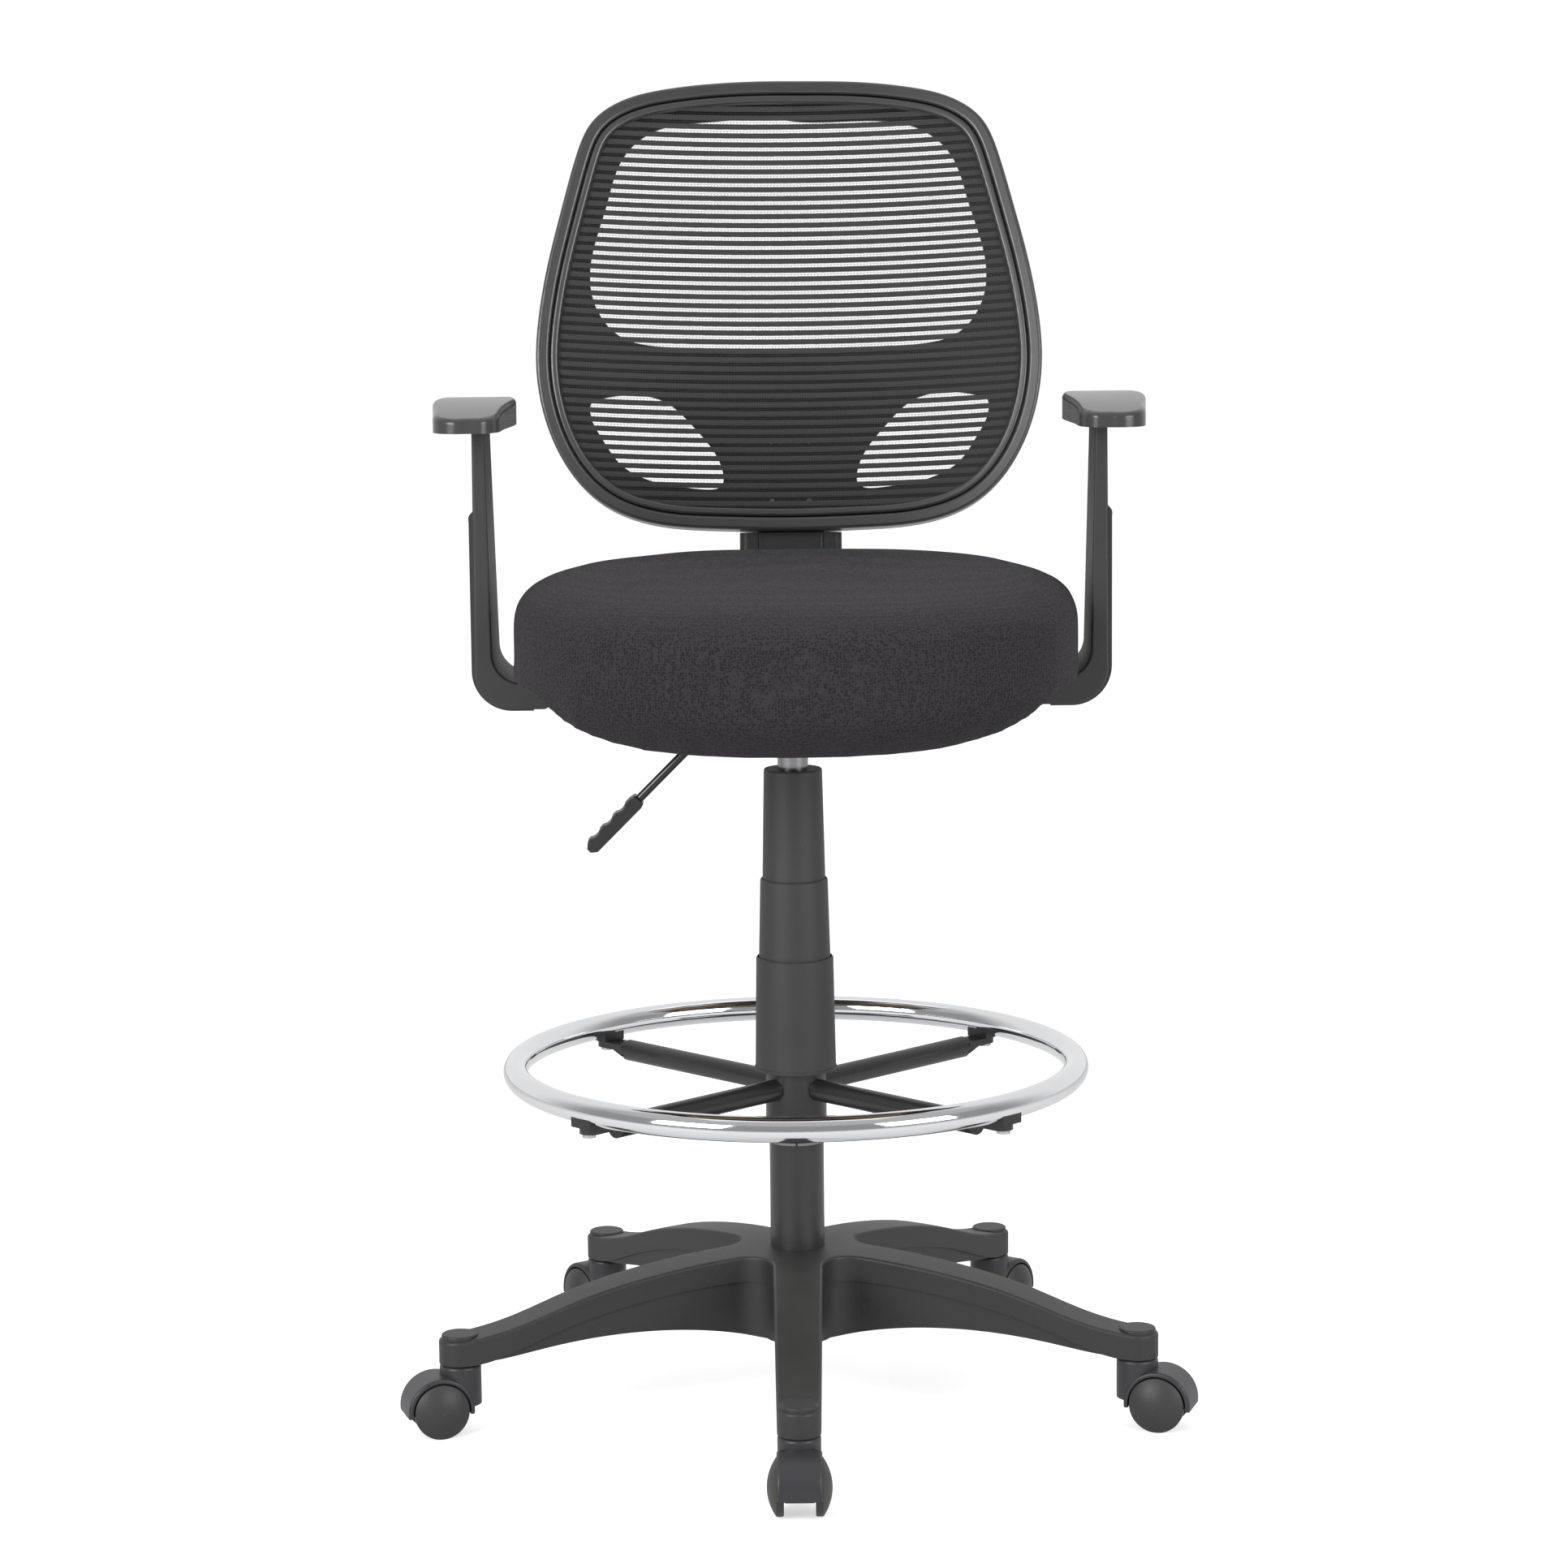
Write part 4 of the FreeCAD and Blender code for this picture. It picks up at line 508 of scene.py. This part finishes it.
def inflate(piece, pressure, travel, pinned):
    """Swells the cover over its foam, evens the swell out, and keeps each point within its travel."""
    start = [vertex.co.copy() for vertex in piece.data.vertices]
    hold = piece.vertex_groups.new(name="held")
    hold.add(pinned, 1.0, "REPLACE")
    cloth = piece.modifiers.new("Cloth", "CLOTH")
    cloth.settings.quality = 5
    cloth.settings.mass = 0.3
    cloth.settings.tension_stiffness = 18.0
    cloth.settings.compression_stiffness = 18.0
    cloth.settings.bending_stiffness = 0.6
    cloth.settings.use_pressure = True
    cloth.settings.uniform_pressure_force = pressure
    cloth.settings.vertex_group_mass = hold.name
    cloth.settings.effector_weights.gravity = 0.0
    cloth.collision_settings.use_collision = False
    cloth.point_cache.frame_start = 1
    cloth.point_cache.frame_end = CLOTH_STEPS
    scene = bpy.context.scene
    for number in range(1, CLOTH_STEPS + 1):
        scene.frame_set(number)
    only(piece)
    bpy.ops.object.modifier_apply(modifier=cloth.name)
    raw = [vertex.co - place for vertex, place in zip(piece.data.vertices, start)]
    moves = even(raw, piece.data.edges, EVENING_PASSES)
    for vertex, place, move in zip(piece.data.vertices, start, moves):
        vertex.co = place + move * min(1.0, travel / max(move.length, 1e-6))
    piece.vertex_groups.clear()
    scene.frame_set(1)


def even(moves, edges, passes):
    """Averages each point's move with its neighbours', several times over."""
    pairs = [tuple(edge.vertices) for edge in edges]
    for _ in range(passes):
        sums = [move.copy() for move in moves]
        counts = [1] * len(moves)
        for a, b in pairs:
            sums[a] += moves[b]
            sums[b] += moves[a]
            counts[a] += 1
            counts[b] += 1
        moves = [total / count for total, count in zip(sums, counts)]
    return moves


class ChairOperator:
    """What every operator of the chair shares."""

    bl_options = {"REGISTER", "UNDO"}

    def execute(self, context):
        self.make(context.scene)
        return {"FINISHED"}


class CHAIR_OT_base(ChairOperator, bpy.types.Operator):
    """Finish the five-legged base and the parts fixed in it"""

    bl_idname = "chair.base"
    bl_label = "Base"

    def make(self, scene):
        colours = scene.chair_finishes
        nylon = moulded("Base nylon", colours.base, 0.50, grain=0.0007, bump=0.45, dust=0.05)
        finish(nylon, "star_base")
        finish(metal("Caster stem steel", (0.55, 0.55, 0.56), 0.30, rings=4000.0), "caster_stems")
        finish(metal("Bearing steel", (0.50, 0.50, 0.51), 0.25), "thrust_bearing")
        bushing = moulded("Bushing plastic", (0.25, 0.25, 0.25), 0.42, bump=0.1)
        finish(bushing, "guide_bushing", "foot_ring_liner")


class CHAIR_OT_casters(ChairOperator, bpy.types.Operator):
    """Finish the five twin-wheel casters"""

    bl_idname = "chair.casters"
    bl_label = "Casters"

    def make(self, scene):
        colours = scene.chair_finishes
        hood = moulded("Caster hood nylon", colours.hoods, 0.40, grain=0.0005, bump=0.25, dust=0.04)
        wheel = moulded("Wheel nylon", colours.wheels, 0.48, grain=0.0008, bump=0.4, dust=0.03)
        steel = metal("Axle steel", (0.52, 0.52, 0.53), 0.28)
        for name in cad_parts:
            if name.endswith("_hood"):
                finish(hood, name)
            elif "_wheel_" in name:
                finish(wheel, name)
            elif name.endswith("_axle"):
                finish(steel, name)


class CHAIR_OT_lift(ChairOperator, bpy.types.Operator):
    """Finish the gas lift and its telescopic covers"""

    bl_idname = "chair.lift"
    bl_label = "Gas Lift"

    def make(self, scene):
        colours = scene.chair_finishes
        cover = moulded("Cover plastic", colours.covers, 0.55, grain=0.0006, bump=0.4, shade=0.08)
        finish(cover, "cover_lower", "cover_middle", "cover_upper")
        finish(moulded("Column coat", colours.covers, 0.34, grain=0.0009, bump=0.2), "column_tube")
        bright = metal("Ground steel", (0.30, 0.30, 0.31), 0.20, rings=7000.0, change=0.16)
        finish(bright, "gas_cylinder", "piston_rod")
        finish(metal("Clip steel", (0.50, 0.50, 0.52), 0.32), "retaining_clip", "release_button")


class CHAIR_OT_foot_ring(ChairOperator, bpy.types.Operator):
    """Finish the foot ring, its spokes and its clamp knob"""

    bl_idname = "chair.foot_ring"
    bl_label = "Foot Ring"

    def make(self, scene):
        colours = scene.chair_finishes
        chrome = metal(
            "Ring chrome", colours.chrome, 0.055, rings=1200.0, change=0.03, smears=0.05, bump=0.02)
        finish(chrome, "foot_ring")
        coat = moulded("Ring hub coat", colours.coating, 0.32, grain=0.0009, bump=0.2)
        finish(coat, "foot_ring_hub", "foot_ring_spokes")
        knob = moulded("Knob plastic", colours.shell, 0.40, grain=0.0006, bump=0.3)
        finish(knob, "foot_ring_tabs", "foot_ring_knob")
        finish(metal("Ring screw steel", (0.50, 0.50, 0.51), 0.30), "foot_ring_screws")


class CHAIR_OT_mechanism(ChairOperator, bpy.types.Operator):
    """Finish the seat mechanism and its height lever"""

    bl_idname = "chair.mechanism"
    bl_label = "Mechanism"

    def make(self, scene):
        colours = scene.chair_finishes
        coat = moulded("Mechanism coat", colours.coating, 0.38, grain=0.0010, bump=0.25)
        finish(coat, "mechanism_housing", "mechanism_socket")
        finish(metal("Bolt steel", (0.50, 0.50, 0.51), 0.30), "mechanism_bolts")
        enamel = moulded("Lever enamel", colours.coating, 0.16, grain=0.0020, bump=0.05, shade=0.05)
        finish(enamel, "lever_rod")
        finish(moulded("Paddle plastic", colours.shell, 0.36, grain=0.0006, bump=0.25), "lever_paddle")
        finish(plywood("Pan plywood"), "seat_pan")


class CHAIR_OT_cushion(ChairOperator, bpy.types.Operator):
    """Build the seat cushion as an inflated cover over foam"""

    bl_idname = "chair.cushion"
    bl_label = "Seat Cushion"

    def make(self, scene):
        settings = scene.chair_cushion
        piece = new_object("seat_pillow", self.cover(settings))
        shell = piece.modifiers.new("Skin", "REMESH")
        shell.mode = "VOXEL"
        shell.voxel_size = settings.voxel
        only(piece)
        bpy.ops.object.modifier_apply(modifier=shell.name)
        held = [vertex.index for vertex in piece.data.vertices if self.under(vertex.co) < 0.004]
        inflate(piece, settings.pressure, settings.travel, held)
        self.shape(piece, settings)
        rounded = piece.modifiers.new("Rounding", "SUBSURF")
        rounded.levels = 1
        rounded.render_levels = 1
        only(piece)
        bpy.ops.object.modifier_apply(modifier=rounded.name)
        shade_smooth(piece.data)
        piece.data.materials.clear()
        piece.data.materials.append(seat_cloth("Seat cloth", settings))
        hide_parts("seat_cushion")
        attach(piece, "seat")

    def cover(self, settings):
        """Closed pillow: two stacks of rings that meet at the widest line."""
        skin = bmesh.new()
        rings, count = 36, 160
        rows = []
        for top in (True, False):
            power = TOP_POWER if top else BOTTOM_POWER
            for ring in range(rings):
                share = 1.0 - (1.0 - (ring + 1) / rings) ** 2.2
                rise = max(0.0, 1.0 - share ** power) ** (1.0 / power)
                rows.append((top, share, rise if ring + 1 < rings else 0.0))
        upper = [self.ring(skin, settings, share, rise, True, count) for top, share, rise in rows if top]
        lower = [self.ring(skin, settings, share, rise, False, count) for top, share, rise in rows if not top]
        bmesh.ops.delete(skin, geom=lower.pop(), context="VERTS")
        for stack, turned_over in ((upper, False), (lower + [upper[-1]], True)):
            self.join(skin, stack, turned_over)
        bmesh.ops.recalc_face_normals(skin, faces=skin.faces)
        mesh = bpy.data.meshes.new("seat_pillow")
        skin.to_mesh(mesh)
        skin.free()
        return mesh

    @staticmethod
    def join(skin, stack, turned_over):
        count = len(stack[0])
        faces = [tuple(stack[0])]
        for inner, outer in zip(stack, stack[1:]):
            for index in range(count):
                following = (index + 1) % count
                faces.append((inner[index], outer[index], outer[following], inner[following]))
        for face in faces:
            skin.faces.new(face[::-1] if turned_over else face)

    def ring(self, skin, settings, share, rise, top, count):
        """One ring of the pillow, in the plan of a rounded square."""
        middle = Vector(settings.middle)
        made = []
        for index in range(count):
            angle = 2.0 * math.pi * index / count
            power = 2.0 / PLAN_POWER
            across = math.copysign(abs(math.cos(angle)) ** power, math.cos(angle)) * settings.half_width
            along = math.copysign(abs(math.sin(angle)) ** power, math.sin(angle)) * settings.half_length
            x = middle.x + across * share * settings.cut
            y = middle.y + along * share * settings.cut
            z = middle.z + SEAT_SLOPE * (y - middle.y)
            z += settings.crown * rise if top else -settings.belly * rise
            if not top:
                z = max(z, self.underside(x, y))
            made.append(skin.verts.new((x, y, z)))
        return made

    @staticmethod
    def underside(x, y):
        """Lowest that the cushion may reach: on the pan, beside it, and in the front roll."""
        low, high = PAN_BOX
        if low[0] < x < high[0] and low[1] < y < high[1]:
            return high[2] + 0.0005
        roll = 1.0 / (1.0 + math.exp((y + 0.190) / 0.012))
        return 0.679 - 0.048 * roll

    def under(self, place):
        """How far a point is above the cushion's underside."""
        return place.z - self.underside(place.x, place.y)

    @staticmethod
    def shape(piece, settings):
        """Presses the sitter's hollow into the top, and gathers the cloth along the stapled edge."""
        middle = Vector(settings.middle)
        for vertex in piece.data.vertices:
            place = vertex.co
            above = (place.z - middle.z) / settings.crown
            if above > 0.0:
                across = place.x / 0.17
                along = (place.y - 0.07) / 0.15
                press = math.exp(-across * across - along * along) * min(1.0, 1.6 * above)
                place.z -= settings.hollow * press
            else:
                angle = math.atan2(place.y - middle.y, place.x)
                gather = math.sin(angle * 31.0) + 0.6 * math.sin(angle * 47.0 + 1.3)
                slow = vector_noise.noise(place * 14.0)
                low = min(1.0, -1.2 * above)
                depth = low * low * settings.pucker * gather * 0.5 + low * 0.0015 * slow
                out = Vector((place.x, place.y - middle.y, 0.0)).normalized()
                vertex.co = place + out * depth


class CHAIR_OT_arms(ChairOperator, bpy.types.Operator):
    """Finish the armrests and their pads"""

    bl_idname = "chair.arms"
    bl_label = "Armrests"

    def make(self, scene):
        colours = scene.chair_finishes
        nylon = moulded("Arm nylon", colours.arms, 0.52, grain=0.0009, bump=0.55, shade=0.12)
        finish(nylon, "arm_left", "arm_right")
        pad = moulded("Pad urethane", colours.pads, 0.24, grain=0.0012, bump=0.3, shade=0.08)
        finish(pad, "arm_pad_left", "arm_pad_right")
        finish(metal("Arm bolt steel", (0.50, 0.50, 0.51), 0.30), "arm_bolts", "arm_pad_screws")


class CHAIR_OT_back(ChairOperator, bpy.types.Operator):
    """Finish the frame, shell and bar of the back"""

    bl_idname = "chair.back"
    bl_label = "Back Frame"

    def make(self, scene):
        colours = scene.chair_finishes
        outer = moulded("Back frame nylon", colours.back, 0.30, grain=0.0006, bump=0.25, specular=0.8)
        finish(outer, "back_frame")
        rim = moulded("Mesh rim nylon", colours.back, 0.30, grain=0.0007, bump=0.1, specular=0.9)
        finish(rim, "mesh_rim")
        shell = moulded("Back shell nylon", colours.shell, 0.48, grain=0.0007, bump=0.35)
        finish(shell, "back_shell", "back_bar_cover")
        finish(moulded("Bar coat", colours.coating, 0.36, grain=0.0010, bump=0.25), "back_bar")
        finish(metal("Back screw steel", (0.50, 0.50, 0.51), 0.30), "back_screws")


def to_back(place):
    """A point in the back's own frame: across, behind the face's edge, and up along the lean."""
    offset = place - BACK_ORIGIN
    lean_cos, lean_sin = math.cos(BACK_LEAN), math.sin(BACK_LEAN)
    behind = offset.y * lean_cos - offset.z * lean_sin
    up = offset.y * lean_sin + offset.z * lean_cos
    return Vector((offset.x, behind, up))


def from_back(across, behind, up):
    """The chair's point for a place in the back's own frame."""
    lean_cos, lean_sin = math.cos(BACK_LEAN), math.sin(BACK_LEAN)
    y = behind * lean_cos + up * lean_sin
    z = up * lean_cos - behind * lean_sin
    return BACK_ORIGIN + Vector((across, y, z))


def hull(points):
    """Convex outline of flat points, anticlockwise."""
    points = sorted(set(points))

    def chain(ordered):
        kept = []
        for point in ordered:
            while len(kept) > 1 and (
                    (kept[-1][0] - kept[-2][0]) * (point[1] - kept[-2][1])
                    - (kept[-1][1] - kept[-2][1]) * (point[0] - kept[-2][0])) <= 0.0:
                kept.pop()
            kept.append(point)
        return kept[:-1]

    return chain(points) + chain(points[::-1])


def even_loop(corners, count):
    """Points at equal steps round a closed outline."""
    lengths = [math.dist(a, b) for a, b in zip(corners, corners[1:] + corners[:1])]
    step = sum(lengths) / count
    loop = []
    index, passed = 0, 0.0
    for number in range(count):
        while passed + lengths[index] < number * step:
            passed += lengths[index]
            index += 1
        share = (number * step - passed) / lengths[index]
        a, b = corners[index], corners[(index + 1) % len(corners)]
        loop.append((a[0] + (b[0] - a[0]) * share, a[1] + (b[1] - a[1]) * share))
    return loop


class CHAIR_OT_mesh(ChairOperator, bpy.types.Operator):
    """Stretch the striped knit over the back"""

    bl_idname = "chair.mesh"
    bl_label = "Back Mesh"

    def make(self, scene):
        settings = scene.chair_mesh
        flat = [to_back(vertex.co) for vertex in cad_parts["mesh_panel"].data.vertices]
        outline = even_loop(hull([(round(p.x, 5), round(p.z, 5)) for p in flat]), 160)
        middle = (0.0, sum(point[1] for point in outline) / len(outline))
        rings = 28
        skin = bmesh.new()
        centre = skin.verts.new(self.on_face(middle[0], middle[1], settings.depth))
        loops = []
        for ring in range(1, rings + 1):
            share = ring / rings
            loops.append([skin.verts.new(self.on_face(
                middle[0] + (x - middle[0]) * share, middle[1] + (z - middle[1]) * share, settings.depth))
                for x, z in outline])
        for index, vertex in enumerate(loops[0]):
            skin.faces.new((centre, vertex, loops[0][(index + 1) % len(outline)]))
        for inner, outer in zip(loops, loops[1:]):
            for index in range(len(outline)):
                following = (index + 1) % len(outline)
                skin.faces.new((inner[index], outer[index], outer[following], inner[following]))
        layer = skin.loops.layers.uv.new("Knit")
        area = 0.0
        for face in skin.faces:
            face.smooth = True
            area += face.calc_area()
            for corner in face.loops:
                place = to_back(corner.vert.co)
                arc = BACK_FACE_RADIUS * math.asin(place.x / BACK_FACE_RADIUS)
                bow = settings.sag * (1.0 - (place.x / 0.24) ** 2)
                corner[layer].uv = (arc, place.z + bow)
        mesh = bpy.data.meshes.new("back_knit")
        skin.to_mesh(mesh)
        skin.free()
        piece = new_object("back_knit", mesh)
        mesh.materials.append(back_cloth("Back knit", settings))
        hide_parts("mesh_panel")
        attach(piece, "seat")

    @staticmethod
    def on_face(across, up, depth):
        radius = BACK_FACE_RADIUS + depth
        behind = BACK_FACE_CENTRE - BACK_FACE_RADIUS + math.sqrt(radius * radius - across * across)
        return from_back(across, behind, up)


class CHAIR_OT_stage(ChairOperator, bpy.types.Operator):
    """Set up the floor, the soft lights and the camera"""

    bl_idname = "chair.stage"
    bl_label = "Stage"

    def make(self, scene):
        settings = scene.chair_stage
        self.camera(scene, settings)
        self.floor(settings)
        self.softbox("Key light", settings.key, (-2.3, -2.6, 1.7), 1.8)
        self.softbox("Fill light", settings.fill, (2.5, -2.3, 1.5), 1.8)
        self.softbox("Top light", settings.top, (0.0, 0.3, 3.0), 2.2)
        self.surround(scene)
        scene.view_settings.view_transform = "Standard"

    @staticmethod
    def surround(scene):
        """White behind the chair. For the reflections, a room that is brighter overhead and to the rear."""
        world = bpy.data.worlds.new("Studio")
        scene.world = world
        world.use_nodes = True
        tree = world.node_tree
        background = tree.nodes["Background"]
        where = add(tree, "ShaderNodeTexCoord").outputs["Generated"]
        split = add(tree, "ShaderNodeSeparateXYZ", {0: where}).outputs
        overhead = remap(tree, split[2], 0.25, 0.75, 0.0, 0.7)
        rear = remap(tree, split[1], -0.1, 0.6, 0.45, 1.2)
        room = calc(tree, "MAXIMUM", overhead, rear)
        seen = add(tree, "ShaderNodeLightPath").outputs["Is Camera Ray"]
        level = calc(tree, "MAXIMUM", calc(tree, "MULTIPLY", room, 0.75), seen)
        background.inputs["Color"].default_value = (1.0, 1.0, 1.0, 1.0)
        tree.links.new(level, background.inputs["Strength"])

    @staticmethod
    def camera(scene, settings):
        data = bpy.data.cameras.new("Camera")
        data.sensor_width = 36.0
        data.lens = settings.lens
        data.clip_end = 50.0
        eye = new_object("Camera", data)
        turn = (Matrix.Rotation(settings.yaw, 4, "Z")
                @ Matrix.Rotation(math.pi / 2.0 - settings.pitch, 4, "X")
                @ Matrix.Rotation(settings.roll, 4, "Z"))
        eye.matrix_world = Matrix.Translation(settings.place) @ turn
        scene.camera = eye

    @staticmethod
    def floor(settings):
        """Wide pale disc. It glows for the camera, and is dimmer in reflections and as bounced light."""
        skin = bmesh.new()
        bmesh.ops.create_circle(skin, cap_ends=True, radius=14.0, segments=96)
        mesh = bpy.data.meshes.new("studio_floor")
        skin.to_mesh(mesh)
        skin.free()
        piece = new_object("studio_floor", mesh)
        material, tree, shader = blank("Pale floor")
        where = add(tree, "ShaderNodeTexCoord").outputs["Object"]
        clouds = noise(tree, where, 1.2, 2.0)
        shader.inputs["Specular IOR Level"].default_value = 0.05
        pale = mix_colour(tree, clouds, rgba([c * 0.99 for c in settings.floor]), rgba(settings.floor))
        tree.links.new(pale, shader.inputs["Base Color"])
        shader.inputs["Emission Color"].default_value = (1.0, 1.0, 1.0, 1.0)
        shader.inputs["Emission Strength"].default_value = settings.glow
        tree.links.new(remap(tree, clouds, 0.2, 0.8, 0.75, 0.85), shader.inputs["Roughness"])
        dim = add(tree, "ShaderNodeBsdfDiffuse", {"Color": (0.40, 0.40, 0.40, 1.0)})
        rays = add(tree, "ShaderNodeLightPath").outputs
        mirrored = calc(tree, "MULTIPLY", rays["Is Glossy Ray"], 0.45)
        bright = calc(tree, "MAXIMUM", rays["Is Camera Ray"], mirrored)
        both = add(tree, "ShaderNodeMixShader", {0: bright, 1: dim.outputs[0], 2: shader.outputs[0]})
        tree.links.new(both.outputs[0], tree.nodes["Material Output"].inputs["Surface"])
        mesh.materials.append(material)

    @staticmethod
    def softbox(name, power, place, size):
        data = bpy.data.lights.new(name, "AREA")
        data.energy = power
        data.shape = "SQUARE"
        data.size = size
        lamp = new_object(name, data)
        aim = Vector((0.0, 0.0, 0.65)) - Vector(place)
        lamp.rotation_euler = aim.to_track_quat("-Z", "Y").to_euler()
        lamp.location = place


class CHAIR_PT_pieces(bpy.types.Panel):
    """Settings and operators of the chair."""

    bl_idname = "CHAIR_PT_pieces"
    bl_label = "Drafting Chair"
    bl_space_type = "VIEW_3D"
    bl_region_type = "UI"
    bl_category = "Chair"

    def draw(self, context):
        scene = context.scene
        for settings in (scene.chair_finishes, scene.chair_cushion, scene.chair_mesh, scene.chair_stage):
            box = self.layout.box()
            for name in settings.__annotations__:
                box.prop(settings, name)
        for operator in OPERATORS:
            self.layout.operator(operator.bl_idname)


SETTINGS = (ChairFinishes, ChairCushion, ChairMesh, ChairStage)
OPERATORS = (CHAIR_OT_stage, CHAIR_OT_base, CHAIR_OT_casters, CHAIR_OT_lift, CHAIR_OT_foot_ring,
             CHAIR_OT_mechanism, CHAIR_OT_cushion, CHAIR_OT_arms, CHAIR_OT_back, CHAIR_OT_mesh)
CLASSES = SETTINGS + OPERATORS + (CHAIR_PT_pieces,)


def register():
    for item in CLASSES:
        bpy.utils.register_class(item)
    bpy.types.Scene.chair_finishes = bpy.props.PointerProperty(type=ChairFinishes)
    bpy.types.Scene.chair_cushion = bpy.props.PointerProperty(type=ChairCushion)
    bpy.types.Scene.chair_mesh = bpy.props.PointerProperty(type=ChairMesh)
    bpy.types.Scene.chair_stage = bpy.props.PointerProperty(type=ChairStage)


def unregister():
    for name in ("chair_finishes", "chair_cushion", "chair_mesh", "chair_stage"):
        delattr(bpy.types.Scene, name)
    for item in reversed(CLASSES):
        bpy.utils.unregister_class(item)


def main():
    register()
    bpy.ops.chair.stage()
    bpy.ops.chair.base()
    bpy.ops.chair.casters()
    bpy.ops.chair.lift()
    bpy.ops.chair.foot_ring()
    bpy.ops.chair.mechanism()
    bpy.ops.chair.cushion()
    bpy.ops.chair.arms()
    bpy.ops.chair.back()
    bpy.ops.chair.mesh()


if __name__ == "__main__":
    main()
